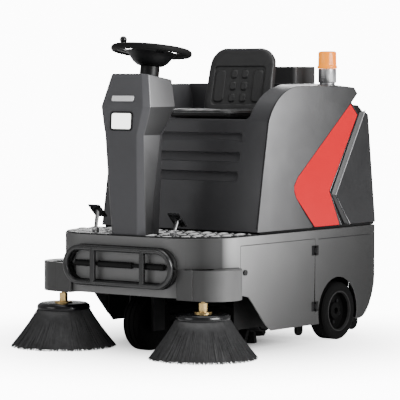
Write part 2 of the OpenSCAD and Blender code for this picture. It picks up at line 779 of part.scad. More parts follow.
back_lean = 11.7;
module on_seat_back() { translate([0, 234, 988]) rotate([90 - back_lean, 0, 0]) children(); }
// Pan that slides on the rails, with the two stays of the backrest
module seat_pan() {
  color([0.1, 0.1, 0.1]) difference() {
    union() {
      box([-150, -10, console_floor_z + 1], [150, 226, 982]);
      both_sides() along_x(88, 96) polygon([[180, 950], [271, 950], [318, 1180], [310, 1180],
        [264, 960], [200, 981]]);
    }
    both_sides() box([rail_x - 15.5, -30, 0], [rail_x + 15.5, 260, console_floor_z + 12.5]);
    box([-80, 10, 0], [80, 206, 974]);
  }
}
// Solid cores of the cushion and the backrest
module seat_cushion() {
  color([0.15, 0.15, 0.16]) translate([0, 64, 984]) linear_extrude(36) round_rect(372, 264, 60);
}
module seat_back() {
  half = 188;
  top = 312;
  half_outline = concat(arc([half - 46, 46], 46, -90, 0, 6), arc([half - 88, top - 88], 88, 0, 90, 8));
  color([0.15, 0.15, 0.16]) on_seat_back() translate([0, 0, -28]) linear_extrude(36)
    polygon(concat(half_outline, mirrored(half_outline)));
}

// ---- Hopper, filter, fan and batteries ----

roller_y = 672;
roller_z = 59;
roller_r = 42;
roller_x = [268, 298];
roller_pin_r = 8;
// Debris hopper, drawn out to the rear on its rollers by the handle in its rear face
module hopper() {
  half = hopper_half_w - gap;
  front = 262;
  color([0.4, 0.4, 0.41]) difference() {
    union() {
      intersection() {
        box([-half, front, hopper_z0], [half, inf, hopper_z1]);
        body_block();
      }
      box([-half, front, hopper_z0], [half, 600, hopper_z1]);
      both_sides() along_x(roller_x[0] - 11, roller_x[0] - 3) polygon([
        [606, hopper_z0 + 3], [648, hopper_z0 + 3], [roller_y + 14, roller_z + 10],
        [roller_y + 14, roller_z - 12], [roller_y - 14, roller_z - 12]]);
    }
    box([wall - half, front - 1, hopper_z0 + wall], [half - wall, 660, hopper_z1 - wall]);
    rod_x(-inf, inf, roller_y, roller_z, roller_pin_r + fit);
    box([-150, 690, 372], [150, inf, 404]);
  }
  color([0.06, 0.06, 0.06]) rod_x(-151, 151, 708, 388, 9);
}
module hopper_rollers() {
  color([0.06, 0.06, 0.06]) {
    rod_x(-roller_x[1], roller_x[1], roller_y, roller_z, roller_pin_r);
    both_sides() rod_x(roller_x[0], roller_x[1], roller_y, roller_z, roller_r);
  }
}
// Four battery blocks with their terminals
module batteries() {
  color([0.15, 0.15, 0.18]) both_sides() for (y = [-60, 120]) {
    box([6, y, deck_z + 1], [290, y + 170, deck_z + 215]);
    for (x = [40, 250]) rod_z(deck_z + 214, deck_z + 228, x, y + 30, 9);
  }
}
// Pleated panel filter
module dust_filter() {
  color([0.85, 0.83, 0.75]) difference() {
    box([-220, 400, deck_z - 40], [220, 486, deck_z + 120]);
    for (x = [-200 : 20 : 200]) box([x - 4, 396, deck_z - 30], [x + 4, 470, deck_z + 110]);
  }
}
// Fan housing and motor, open at the inlet below
module suction_fan() {
  color([0.25, 0.25, 0.27]) difference() {
    union() {
      rod_z(deck_z + 1, deck_z + 80, 0, 600, 85);
      rod_z(deck_z + 79, deck_z + 130, 0, 600, 40);
    }
    rod_z(deck_z - 1, deck_z + 70, 0, 600, 45);
  }
}

// ---- Chassis ----

rail_in = 320;
rail_out = 328;
// Two side plates, cross members, the steering bearing's block and the stub axles
module chassis_frame() {
  low = 380;
  top = 470;
  color([0.12, 0.12, 0.13]) difference() {
    union() {
      both_sides() {
        along_x(rail_in, rail_out) polygon([
          [-520, top], [-520, low], [-316, low], [-300, 300], [205, 300], [205, 240], [255, 240],
          [255, 300], [386, 300], [386, 92], [466, 92], [466, 300], [560, low], [640, low],
          [640, top]]);
        rod_x(broom_half_w + 4, rail_out, arm_pivot[0], arm_pivot[1], 8);
      }
      // Stub axles of the rear wheels
      both_sides() {
        rod_x(rail_in, wheel_x1 - 34, rear_axle_y, rear_wheel_r, axle_r);
        rod_x(rail_in, rail_out + 5, rear_axle_y, rear_wheel_r, 30);
      }
      for (y = [-100, 250, 580]) box([-rail_in - 1, y, 446], [rail_in + 1, y + 30, top]);
      box([-rail_in - 1, steer_y - 70, low], [rail_in + 1, steer_y + 70, low + 20]);
      box([-110, steer_y - 60, 305], [110, steer_y + 60, low + 1]);
      both_sides() box([rail_out - 1, -340, 400], [body_half_w - wall - 12, -310, 440]);
    }
    rod_z(0, low + 60, 0, steer_y, 25);
  }
}

chassis_frame();
lower_body();
deck_plate();
deck_mat();
seat_console();
side_shell_left();
side_shell_right();
chevrons();
rear_deck();
rear_cover();
rear_box();
beacon_base();
beacon_lens();
bumper_loop();
bumper_rod();
brush_pods();
column_cover();
column_head();
headlight_frame();
headlight_lens();
dash_panel();
key_switch();
stop_button();
steering_shaft();
steering_rim();
spinner_knob();
horn_button();
steering_fork();
front_wheel();
rear_wheel_left();
rear_wheel_right();
lug_bolts_left();
lug_bolts_right();
brush_motor_left();
brush_motor_right();
side_brush_left();
side_brush_right();
bristles_left();
bristles_right();
broom_arms();
broom_core();
broom_bristles();
broom_motor();
side_skirts();
pedal_brackets();
pedal_left();
pedal_right();
door_left();
door_right();
door_hinges();
door_knobs_left();
door_knobs_right();
seat_pan();
seat_cushion();
seat_back();
hopper();
hopper_rollers();
batteries();
dust_filter();
suction_fan();
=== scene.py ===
"""Ride-on floor sweeper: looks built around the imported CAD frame. Metres, front towards -Y."""
import random
from math import atan2, cos, hypot, pi, radians, sin, sqrt, tan

import bmesh
import bpy
from mathutils import Matrix, Vector


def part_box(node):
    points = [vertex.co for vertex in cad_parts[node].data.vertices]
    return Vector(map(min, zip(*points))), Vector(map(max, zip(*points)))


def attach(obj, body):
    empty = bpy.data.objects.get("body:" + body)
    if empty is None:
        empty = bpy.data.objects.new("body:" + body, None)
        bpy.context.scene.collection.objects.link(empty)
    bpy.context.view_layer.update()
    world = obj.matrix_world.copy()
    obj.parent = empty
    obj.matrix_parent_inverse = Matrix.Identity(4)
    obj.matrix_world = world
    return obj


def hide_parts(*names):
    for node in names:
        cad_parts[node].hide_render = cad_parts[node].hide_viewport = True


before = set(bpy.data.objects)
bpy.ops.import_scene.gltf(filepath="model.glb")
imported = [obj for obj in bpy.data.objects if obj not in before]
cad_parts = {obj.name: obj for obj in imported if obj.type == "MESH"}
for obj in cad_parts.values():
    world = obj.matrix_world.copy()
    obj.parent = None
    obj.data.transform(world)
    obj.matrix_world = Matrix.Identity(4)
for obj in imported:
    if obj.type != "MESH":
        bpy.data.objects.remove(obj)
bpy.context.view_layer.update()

MM = 0.001
HARD_EDGE = radians(32)


# ---- Materials ----

def new_material(name):
    """Empty node material, its node tree and its shader."""
    material = bpy.data.materials.new(name)
    material.use_nodes = True
    return material, material.node_tree, material.node_tree.nodes["Principled BSDF"]


def set_inputs(tree, node, inputs):
    """Gives each named or numbered input its value, or links it to another node's output."""
    for key, value in inputs.items():
        if isinstance(value, bpy.types.NodeSocket):
            tree.links.new(value, node.inputs[key])
        else:
            node.inputs[key].default_value = value


def add_node(tree, kind, inputs, output=0, operation=None):
    """Adds a shader node and returns one of its outputs."""
    node = tree.nodes.new(f"ShaderNode{kind}")
    if operation:
        node.operation = operation
    set_inputs(tree, node, inputs)
    return node.outputs[output]


def add_math(tree, operation, *values):
    """One step of arithmetic on numbers or outputs."""
    return add_node(tree, "Math", dict(enumerate(values)), operation=operation)


def add_noise(tree, scale, detail=4.0, stretch=(1, 1, 1)):
    """Noise in object space, so it doesn't need UVs."""
    where = add_node(tree, "TexCoord", {}, "Object")
    where = add_node(tree, "Mapping", {"Vector": where, "Scale": stretch})
    return add_node(tree, "TexNoise", {"Vector": where, "Scale": scale, "Detail": detail}, "Fac")


def map_range(tree, value, low, high, start=0.3, end=0.7):
    """Maps start..end onto low..high; noise mostly lies between 0.3 and 0.7."""
    return add_node(tree, "MapRange", {"Value": value, "From Min": start, "From Max": end,
                                       "To Min": low, "To Max": high}, "Result")


def tint(tree, value, dark, light):
    """Colour between dark and light, each an RGB or an output."""
    mix = tree.nodes.new("ShaderNodeMix")
    mix.data_type = "RGBA"
    dark, light = [(*c, 1) if isinstance(c, (list, tuple)) else c for c in (dark, light)]
    set_inputs(tree, mix, {"A": dark, "B": light, "Factor": value})
    return mix.outputs["Result"]


def scaled(tree, colour, factor):
    """Colour times a factor."""
    return add_node(tree, "VectorMath", {0: colour, "Scale": factor}, operation="SCALE")


def geometry_part(tree, what, axis):
    """One axis of the shaded point's Position or Normal."""
    whole = add_node(tree, "NewGeometry", {}, what)
    return add_node(tree, "SeparateXYZ", {0: whole}, axis)


def add_bump(tree, bsdf, height, strength, distance=0.001):
    """Fine relief from a height."""
    bump = add_node(tree, "Bump", {"Strength": strength, "Distance": distance, "Height": height})
    tree.links.new(bump, bsdf.inputs["Normal"])


def surface(name, colour, rough=0.45, metallic=0.0, spread=0.12, grain=900.0, bump=0.05,
            rough_spread=0.08, blotch=9.0, coat=0.0, stretch=(1, 1, 1), specular=0.4):
    """A solid finish with fine grain, slow colour drift and uneven roughness."""
    material, tree, bsdf = new_material(name)
    fine = add_noise(tree, grain, 2.0, stretch)
    slow = add_noise(tree, blotch)
    both = add_math(tree, "MULTIPLY_ADD", fine, 0.5, add_math(tree, "MULTIPLY", slow, 0.5))
    dark = [c * (1 - spread) for c in colour]
    light = [min(1, c * (1 + spread)) for c in colour]
    set_inputs(tree, bsdf, {
        "Base Color": tint(tree, map_range(tree, both, 0, 1), dark, light),
        "Roughness": map_range(tree, slow, rough - rough_spread, rough + rough_spread),
        "Metallic": metallic, "Coat Weight": coat, "Coat Roughness": 0.25,
        "Specular IOR Level": specular})
    add_bump(tree, bsdf, fine, bump)
    return material


def painted_light_falloff(tree, axis, low, high, share):
    """Painted light: 1 at low and share at high along a world axis, falling off evenly to the eye."""
    along = map_range(tree, geometry_part(tree, "Position", axis), 0, 1, low, high)
    return add_math(tree, "POWER", share, along)


def metallic_shell(name, colour, shade, turn_from=0.15, turn_to=0.95, fades=(), rough=0.42,
                   outer=0.0, under=1.0, corner=1.0):
    """Moulded shell with metal flakes and painted light. Faces that look forwards, or that lie nearer
    the middle than outer, take the darker shade as painted shade, and the flanks lose painted light
    along the fades, each an (axis, low, high, share at high). Faces that look down keep only the share
    under, as painted shade, and those that look out at an angle only the share corner of the darker
    shade, as painted shade on the corners."""
    material = surface(name, colour, rough, metallic=0.35, spread=0.10, grain=1400, bump=0.03,
                       coat=0.05, specular=0.25)
    tree = material.node_tree
    base = tree.nodes["Principled BSDF"].inputs["Base Color"]
    flank = base.links[0].from_socket
    # Painted light: the flank colour falls off along each fade.
    for fade in fades:
        flank = scaled(tree, flank, painted_light_falloff(tree, *fade))
    # Painted shade on faces that look down.
    down = map_range(tree, geometry_part(tree, "Normal", "Z"), under, 1, -0.1, 0.0)
    flank = scaled(tree, flank, down)
    # Painted shade: faces turned away from the lit side, or lying inside outer, take the shade colour.
    turn = add_math(tree, "ABSOLUTE", geometry_part(tree, "Normal", "X"))
    reach = add_math(tree, "ABSOLUTE", geometry_part(tree, "Position", "X"))
    share = add_math(tree, "MULTIPLY", map_range(tree, turn, 0, 1, turn_from, turn_to),
                     add_math(tree, "GREATER_THAN", reach, outer))
    # Painted shade, darker still on faces that look out at an angle.
    front = scaled(tree, shade, map_range(tree, turn, 1, corner, 0.1, 0.7))
    tree.links.new(tint(tree, share, front, flank), base)
    return material


def glow(name, colour, strength, edge):
    """Lit plastic: bright in the middle, with the edge colour at grazing angles."""
    material, tree, bsdf = new_material(name)
    facing = add_node(tree, "LayerWeight", {"Blend": 0.35}, "Facing")
    set_inputs(tree, bsdf, {
        "Base Color": (*[0.5 * c for c in edge], 1), "Roughness": 0.2,
        "Emission Color": tint(tree, facing, colour, edge), "Emission Strength": strength})
    add_bump(tree, bsdf, add_noise(tree, 300), 0.03)
    return material


def vinyl(name):
    """Glossy black seat vinyl with a pebbled grain."""
    material, tree, bsdf = new_material(name)
    where = add_node(tree, "TexCoord", {}, "Object")
    cells = add_node(tree, "TexVoronoi", {"Vector": where, "Scale": 420}, "Distance")
    slow = add_noise(tree, 14)
    set_inputs(tree, bsdf, {
        "Base Color": tint(tree, slow, (0.006, 0.006, 0.0065), (0.011, 0.011, 0.0115)),
        "Roughness": map_range(tree, slow, 0.44, 0.56), "Sheen Weight": 0.05})
    add_bump(tree, bsdf, cells, 0.10, 0.0006)
    return material


def brushed(name, colour, rough=0.3):
    """Bare metal with fine brush lines."""
    return surface(name, colour, rough, metallic=1.0, spread=0.08, grain=700, bump=0.08,
                   rough_spread=0.06, stretch=(1, 1, 14))


MAT = {
    # Shell finishes: the second colour is painted shade for faces that look forwards or lie inside
    # outer, and the fades paint light falling off along the flanks. On the upper shell the forward
    # colour is partly also the console front's own darker tone.
    "side": metallic_shell("side_shell_grey", (0.31, 0.31, 0.315), (0.055, 0.055, 0.058), 0.3, 0.95,
                           (("Y", -0.1, 0.62, 0.13), ("Z", 1.02, 0.5, 0.5)), outer=0.35),
    "front": surface("front_shell", (0.028, 0.028, 0.030), 0.45, 0.15, grain=1400, bump=0.03),
    # Lower body: painted shade on its front, darker still on its corners; painted light falling off
    # towards the rear and the bottom.
    "lower": metallic_shell("lower_shell_grey", (0.50, 0.50, 0.50), (0.165, 0.165, 0.165), 0.92, 0.998,
                            (("Y", -0.38, 0.7, 0.06), ("Z", 0.5, 0.1, 0.34)), corner=0.24),
    # Brush pods: painted shade on the faces that look forwards.
    "pod": metallic_shell("pod_grey", (0.14, 0.14, 0.14), (0.062, 0.062, 0.062), 0.3, 0.98),
    # Column: painted shade on its front and bevels and under its head; painted light falling off
    # downwards and backwards.
    "column": metallic_shell("column_grey", (0.27, 0.27, 0.275), (0.076, 0.076, 0.081), 0.74, 0.97,
                             (("Z", 0.98, 0.5, 0.14), ("Y", -0.53, -0.36, 0.35)), under=0.22),
    "cover": surface("rear_cover_charcoal", (0.013, 0.013, 0.014), 0.5, 0.1, grain=1300, bump=0.04),
    "red": surface("red_insert", (0.52, 0.0008, 0.008), 0.35, spread=0.05, blotch=3, bump=0.015,
                   coat=0.1, specular=0.3),
    "black": surface("black_plastic", (0.005, 0.005, 0.0055), 0.42, spread=0.2, grain=600, bump=0.08,
                     specular=0.2),
    "gloss": surface("black_gloss", (0.004, 0.004, 0.0045), 0.22, spread=0.2, grain=300, bump=0.02,
                     specular=0.5),
    "rubber": surface("black_rubber", (0.005, 0.005, 0.005), 0.6, spread=0.25, grain=500, bump=0.15,
                      specular=0.15),
    "tyre": surface("tyre_rubber", (0.0025, 0.0025, 0.0025), 0.7, spread=0.3, grain=350, bump=0.2,
                    specular=0.05),
    "bristle": surface("nylon_bristle", (0.034, 0.034, 0.035), 0.42, spread=0.35, grain=60, bump=0.05),
    # Main broom's bristles: colour darkened as painted shade under the body.
    "bristle_in_painted_shade": surface("broom_bristle", (0.008, 0.008, 0.008), 0.6, spread=0.4, grain=50, bump=0.3,
                            stretch=(40, 1, 1), specular=0.15),
    "steel": brushed("brushed_steel", (0.62, 0.62, 0.63)),
    # Bright steel painted near-white: its own light colour and a painted reflection of the white
    # surroundings.
    "bright": surface("bright_metal_painted_reflection", (0.88, 0.88, 0.88), 0.25, metallic=0.35, spread=0.06, bump=0.03),
    "bar": surface("tread_bar", (0.42, 0.42, 0.42), 0.3, spread=0.3, grain=200, bump=0.1),
    "brass": brushed("turned_brass", (0.78, 0.55, 0.24), 0.25),
    "frame": surface("frame_paint", (0.004, 0.004, 0.0045), 0.5, 0.2, grain=500, bump=0.1,
                     specular=0.15),
    "tube": surface("tube_paint", (0.010, 0.010, 0.0105), 0.32, spread=0.15, grain=500, bump=0.03,
                    specular=0.6),
    "grey_lip": surface("lip_grey", (0.02, 0.02, 0.021), 0.4, grain=900, bump=0.03),
    "box": surface("box_charcoal", (0.040, 0.040, 0.041), 0.45, 0.1, grain=1300, bump=0.04),
    "lip": surface("rim_lip", (0.013, 0.013, 0.013), 0.45, 0.3, grain=600, bump=0.03, specular=0.25),
    # Light grey lines that are painted highlights on rounded edges.
    "painted_highlight": surface("highlight_line_grey", (0.35, 0.35, 0.36), 0.35, grain=900, bump=0.02),
    "red_button": surface("red_button", (0.6, 0.02, 0.02), 0.3, bump=0.02),
    "paper": surface("filter_paper", (0.7, 0.66, 0.52), 0.8, grain=300, bump=0.2),
    "vinyl": vinyl("seat_vinyl"),
    "beacon": glow("beacon_lens", (1.0, 0.38, 0.0), 1.1, (1.0, 0.16, 0.0)),
    "lamp": glow("headlight_lens", (1.0, 1.0, 0.97), 3.2, (0.9, 0.92, 0.9)),
}


# ---- Mesh helpers ----

SIDES = (("left", 1), ("right", -1))


def box_mm(node):
    """Lowest and highest corner of a CAD node's box, each an (x, y, z) in mm."""
    return [[c / MM for c in corner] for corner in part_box(node)]


def middle_mm(node):
    """Middle of a CAD node's box, in mm."""
    return [(a + b) / 2 / MM for a, b in zip(*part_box(node))]


def new_object(name, mesh, material, body, replaces=(), bevel=()):
    """Adds a piece with its finish and body, the CAD nodes it stands in for and its bevel."""
    obj = bpy.data.objects.new(name, mesh)
    bpy.context.scene.collection.objects.link(obj)
    if not mesh.materials:
        mesh.materials.append(MAT[material])
    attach(obj, body)
    if replaces:
        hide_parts(*replaces)
    if bevel:
        add_bevel(obj, *bevel)
    return obj


def mesh_of(name, verts, faces):
    """Clean mesh from points in mm, with its normals outwards."""
    mesh = bpy.data.meshes.new(name)
    mesh.from_pydata([Vector(v) * MM for v in verts], [], faces)
    mesh.validate()
    tidy = bmesh.new()
    tidy.from_mesh(mesh)
    bmesh.ops.remove_doubles(tidy, verts=tidy.verts, dist=1e-6)
    bmesh.ops.recalc_face_normals(tidy, faces=tidy.faces)
    tidy.to_mesh(mesh)
    tidy.free()
    return mesh


def joined(parts):
    """One list of points and one of faces from several pairs of them."""
    verts, faces = [], []
    for part_verts, part_faces in parts:
        faces += [tuple(q + len(verts) for q in face) for face in part_faces]
        verts += part_verts
    return verts, faces


def smooth(mesh, angle=HARD_EDGE):
    """Smooth shading, with a crease where faces meet at more than the angle."""
    mesh.shade_smooth()
    mesh.set_sharp_from_angle(angle=angle)


def soft_normals(obj):
    """Lets large faces set the shading, so that flats look flat."""
    obj.modifiers.new("normals", "WEIGHTED_NORMAL").keep_sharp = False


def add_bevel(obj, width, segments=3, angle=HARD_EDGE):
    """Rounds the hard edges of a piece; width in mm."""
    obj.data.shade_smooth()
    bevel = obj.modifiers.new("edge", "BEVEL")
    bevel.width = width * MM
    bevel.segments = segments
    bevel.limit_method = "ANGLE"
    bevel.angle_limit = angle
    bevel.use_clamp_overlap = False
    bevel.miter_outer = "MITER_ARC"
    soft_normals(obj)


def bake(obj):
    """Applies the modifiers, so that the mesh itself has the final shape."""
    depsgraph = bpy.context.evaluated_depsgraph_get()
    mesh = bpy.data.meshes.new_from_object(obj.evaluated_get(depsgraph))
    obj.modifiers.clear()
    obj.data = mesh


def prism(outline, low, high, place):
    """Closed prism over an outline; place(a, b, t) gives the point at depth t."""
    count = len(outline)
    verts = [place(a, b, low) for a, b in outline] + [place(a, b, high) for a, b in outline]
    faces = [tuple(range(count)), tuple(range(2 * count - 1, count - 1, -1))]
    faces += [(i, (i + 1) % count, (i + 1) % count + count, i + count) for i in range(count)]
    return verts, faces


def along_x(a, b, t):
    """Outline in (Y, Z), depth along X."""
    return (t, a, b)


def along_y(a, b, t):
    """Outline in (X, Z), depth along Y."""
    return (a, t, b)


def along_z(a, b, t):
    """Outline in (X, Y), depth along Z."""
    return (a, b, t)


def mirrored(half):
    """Closes an outline with its mirror image in X."""
    return half + [(-x, y) for x, y in reversed(half)]


def ring_angles(count):
    """Evenly spread angles of a full turn."""
    return [2 * pi * k / count for k in range(count)]


def arc(centre, radius, start, end, steps=16):
    """Points of an arc between two angles in degrees."""
    angles = [radians(start + (end - start) * i / steps) for i in range(steps + 1)]
    return [(centre[0] + radius * cos(a), centre[1] + radius * sin(a)) for a in angles]


def round_rect(width, height, radius, centre=(0, 0), steps=6):
    """Outline of a rectangle with round corners."""
    x, y = width / 2 - radius, height / 2 - radius
    points = []
    for sx, sy, start in ((1, 1, 0), (-1, 1, 90), (-1, -1, 180), (1, -1, 270)):
        points += arc((centre[0] + sx * x, centre[1] + sy * y), radius, start, start + 90, steps)
    return points


def loft(rings):
    """Quads between rings of points, with both ends capped."""
    size = len(rings[0])
    verts = [p for ring in rings for p in ring]
    faces = []
    for r in range(len(rings) - 1):
        for i in range(size):
            j = (i + 1) % size
            faces.append((r * size + i, r * size + j, (r + 1) * size + j, (r + 1) * size + i))
    faces.append(tuple(range(size - 1, -1, -1)))
    faces.append(tuple((len(rings) - 1) * size + i for i in range(size)))
    return verts, faces


def lathe(profile, centre, axis="Z", steps=48):
    """Turns (radius, height) points round an axis through centre."""
    verts, faces = [], []
    count = len(profile)
    for a in ring_angles(steps):
        for r, h in profile:
            p = (r * cos(a), r * sin(a), h)
            p = p if axis == "Z" else (p[2], p[0], p[1])
            verts.append(tuple(c + q for c, q in zip(centre, p)))
    for s in range(steps):
        t = (s + 1) % steps
        for i in range(count - 1):
            faces.append((s * count + i, t * count + i, t * count + i + 1, s * count + i + 1))
    return verts, faces


def tube_mesh(name, path, radius, sides=12, closed=False):
    """Round tube along a path of points."""
    count = len(path)
    rings = []
    points = [Vector(p) for p in path]
    for i, p in enumerate(points):
        ahead = points[(i + 1) % count] if closed or i + 1 < count else p
        behind = points[i - 1] if closed or i > 0 else p
        along = (ahead - behind).normalized()
        across = along.cross(Vector((0, 0, 1)))
        if across.length < 0.01:
            across = along.cross(Vector((0, 1, 0)))
        across.normalize()
        other = across.cross(along)
        rings.append([tuple(p + across * radius * cos(a) + other * radius * sin(a))
                      for a in ring_angles(sides)])
    verts, faces = loft(rings)
    if closed:
        faces = faces[:-2]
        last = (count - 1) * sides
        faces += [(last + i, last + (i + 1) % sides, (i + 1) % sides, i) for i in range(sides)]
    mesh = mesh_of(name, verts, faces)
    smooth(mesh, radians(60))
    return mesh


# ---- CAD nodes that stay, with their finish ----

# Finish and edge radius in mm; one entry serves the left and the right node of a pair.
CAD_FINISH = {
    "chassis_frame": ("frame", 1.0), "deck_plate": ("black", 0.8), "rear_deck": ("front", 4.0),
    "rear_box": ("box", 5.0), "bumper_loop": ("tube", 0.6), "brush_pods": ("pod", 2.0),
    "headlight_frame": ("black", 1.5), "dash_panel": ("black", 1.5), "key_switch": ("steel", 0.4),
    "stop_button": ("red_button", 1.5), "steering_fork": ("frame", 1.0), "front_wheel": ("tyre", 1.5),
    "rear_wheel": ("tyre", 1.5), "lug_bolts": ("frame", 0.8), "brush_motor": ("frame", 1.0),
    "broom_arms": ("frame", 0.8), "broom_core": ("frame", 1.0), "broom_motor": ("frame", 1.0),
    "side_skirts": ("rubber", 0.8), "pedal_brackets": ("steel", 0.6), "door": ("lower", 1.2),
    "door_hinges": ("rubber", 0.8), "door_knobs": ("gloss", 0.8), "seat_pan": ("black", 1.5),
    "hopper": ("lower", 1.5), "hopper_rollers": ("rubber", 2.0), "batteries": ("black", 2.0),
    "dust_filter": ("paper", 0.6), "suction_fan": ("frame", 1.5), "lower_body": ("lower", 1.5),
    "chevrons": ("red", 0.5), "rear_cover": ("cover", 6.0), "headlight_lens": ("lamp", 1.5),
    "horn_button": ("black", 2.0), "steering_shaft": ("black", 1.5), "spinner_knob": ("gloss", 0.6),
    "steering_rim": ("rubber", 0.5), "seat_console": ("front", 2.0), "side_shell": ("side", 4.0),
    "column_cover": ("column", 0), "column_head": ("column", 0), "deck_mat": ("rubber", 0.6),
    "beacon_base": ("steel", 1.0), "beacon_lens": ("beacon", 1.0), "bumper_rod": ("gloss", 0.6),
    "side_brush": ("gloss", 0.8), "bristles": ("bristle", 0), "broom_bristles": ("bristle", 0),
    "pedal": ("gloss", 0.8), "seat_cushion": ("vinyl", 6.0), "seat_back": ("vinyl", 6.0),
}


def finish_cad():
    """Gives every CAD node its finish and soft edges; the mesh itself stays as packed."""
    for node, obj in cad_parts.items():
        material, edge = CAD_FINISH[node.removesuffix("_left").removesuffix("_right")]
        obj.data.materials.clear()
        obj.data.materials.append(MAT[material])
        kept = obj.data.attributes
        if "custom_normal" in kept:
            kept.remove(kept["custom_normal"])
        obj.data.shade_smooth()
        if "sharp_edge" in kept:
            kept.remove(kept["sharp_edge"])
        weld = obj.modifiers.new("weld", "WELD")
        weld.merge_threshold = 0.02 * MM
        flat = obj.modifiers.new("flat", "DECIMATE")
        flat.decimate_type = "DISSOLVE"
        flat.angle_limit = radians(0.4)
        if edge:
            add_bevel(obj, edge, 2)
        else:
            soft_normals(obj)


def paint_faces(node, material, test):
    """Gives the faces of a CAD node whose centre passes the test, in mm, another finish."""
    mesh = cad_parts[node].data
    mesh.materials.append(MAT[material])
    index = len(mesh.materials) - 1
    for face in mesh.polygons:
        if test(*(c / MM for c in face.center)):
            face.material_index = index


# ---- Stage ----

BACKDROP = 12.0
AMBIENT = 0.35
FLOOR_FADE = (0.1, 1.7)
LIT_POINT = Vector((0, 0, 0.6))


def pale_floor():
    """Pale floor near the object that fades into the white backdrop further away."""
    material = surface("pale_floor", (0.97, 0.97, 0.97), 0.6, spread=0.01, grain=40, bump=0.01)
    tree = material.node_tree
    where = add_node(tree, "TexCoord", {}, "Object")
    length = add_node(tree, "VectorMath", {0: where}, "Value", "LENGTH")
    far = map_range(tree, length, 0, 1, *FLOOR_FADE)
    far.node.interpolation_type = "SMOOTHSTEP"
    seen = add_node(tree, "LightPath", {}, "Is Camera Ray")
    mix = add_node(tree, "MixShader", {
        0: add_math(tree, "MULTIPLY", far, seen), 1: tree.nodes["Principled BSDF"].outputs[0],
        2: add_node(tree, "Emission", {"Strength": BACKDROP})})
    tree.links.new(mix, tree.nodes["Material Output"].inputs["Surface"])
    return material


def build_stage():
    """Floor and world; the camera sees a white world, the object gets its weaker light."""
    bpy.ops.mesh.primitive_plane_add(size=60, location=(0, 0, 0))
    floor = bpy.context.object
    floor.name = "floor"
    floor.data.materials.append(pale_floor())
    world = bpy.data.worlds.new("studio")
    world.use_nodes = True
    tree = world.node_tree
    seen = add_node(tree, "LightPath", {}, "Is Camera Ray")
    set_inputs(tree, tree.nodes["Background"], {
        "Color": (1, 1, 1, 1), "Strength": map_range(tree, seen, AMBIENT, BACKDROP, 0, 1)})
    bpy.context.scene.world = world


def area_light(name, place, size, power):
    """Soft box that faces the middle of the object."""
    data = bpy.data.lights.new(name, "AREA")
    data.shape = "RECTANGLE"
    data.size, data.size_y = size
    data.energy = power
    light = bpy.data.objects.new(name, data)
    bpy.context.scene.collection.objects.link(light)
    light.location = place
    light.rotation_euler = (LIT_POINT - Vector(place)).to_track_quat("-Z", "Y").to_euler()


def build_lights():
    """Key from the left flank, soft top, weak front fill and a rim light from behind."""
    area_light("key_side", (5.0, -0.2, 2.6), (3.0, 2.4), 420)
    area_light("top_soft", (0.3, 0.4, 4.5), (4.0, 4.0), 120)
    area_light("front_fill", (-2.0, -5.0, 2.2), (3.0, 2.0), 50)
    area_light("rear_rim", (-3.0, 4.0, 2.6), (2.0, 2.0), 120)


CAMERA_TARGET = (-0.0957, 0.1, 0.6152)
CAMERA_AZIMUTH = 37.16
CAMERA_ELEVATION = 3.06
CAMERA_DISTANCE = 10.355
LENS_MM = 209.9


def build_camera():
    """Camera at the photo's viewing angle; azimuth is from the front, towards the left side."""
    data = bpy.data.cameras.new("camera")
    data.lens = LENS_MM
    data.sensor_width = 36
    data.clip_end = 100
    camera = bpy.data.objects.new("camera", data)
    bpy.context.scene.collection.objects.link(camera)
    a, e = radians(CAMERA_AZIMUTH), radians(CAMERA_ELEVATION)
    away = Vector((sin(a) * cos(e), -cos(a) * cos(e), sin(e)))
    camera.location = Vector(CAMERA_TARGET) + away * CAMERA_DISTANCE
    camera.rotation_euler = (-away).to_track_quat("-Z", "Y").to_euler()
    bpy.context.scene.camera = camera


# ---- Upper body ----

def cut(obj, *cutters):
    """Takes closed meshes out of obj, and bakes the result."""
    for cutter in cutters:
        tool = bpy.data.objects.new("tool", cutter)
        bpy.context.scene.collection.objects.link(tool)
        boolean = obj.modifiers.new("cut", "BOOLEAN")
        boolean.operation = "DIFFERENCE"
        boolean.solver = "EXACT"
        boolean.object = tool
        bpy.context.view_layer.update()
        bake(obj)
        bpy.data.objects.remove(tool)


SHELL_HALF = box_mm("side_shell_left")[1][0]
SHELL_LOW = box_mm("side_shell_left")[0][2]
LIP_Z = box_mm("seat_console")[1][2]
PLATFORM_Z = 930
WING_X = 322
CONSOLE_BASE_Y = -185
CONSOLE_LIP_Y = -101
REAR_WALL_Y = 335
TOP_RISE = 11
POCKET_DEPTH = 4
GROOVES = ((886, 922), (800, 839), (717, 756))
SHOULDER = [(-161, 643), (-140, 769), (-122, 862)] + arc((120, 879), 240, 158, 90, 30) + [(281, 1122)]


def console_y(z):
    """Y of the leaning front at height z."""
    return CONSOLE_BASE_Y + (CONSOLE_LIP_Y - CONSOLE_BASE_Y) * (z - SHELL_LOW) / (LIP_Z - SHELL_LOW)


def shell_outline():
    """Side view (Y, Z): leaning front, large shoulder arc, flat top, then the chevron's rear edge."""
    return ([(CONSOLE_BASE_Y, SHELL_LOW)] + SHOULDER
            + [(502, 1118), (551, 1114), (577, 1087), (529, 1047), (582, 995), (359, 660),
               (449, SHELL_LOW)])


def chevron_outline(grow=0.0):
    """Side view (Y, Z) of the red insert, grown by about so many mm at its rim."""
    points = [(519, 1042), (576, 992), (354, 659), (444, 508), (240, 508), (100, 640), (86, 668),
              (85, 694), (111, 729)]
    cy, cz = 230, 690
    return [(y + grow * (y - cy) / 260, z + grow * (z - cz) / 260) for y, z in points]


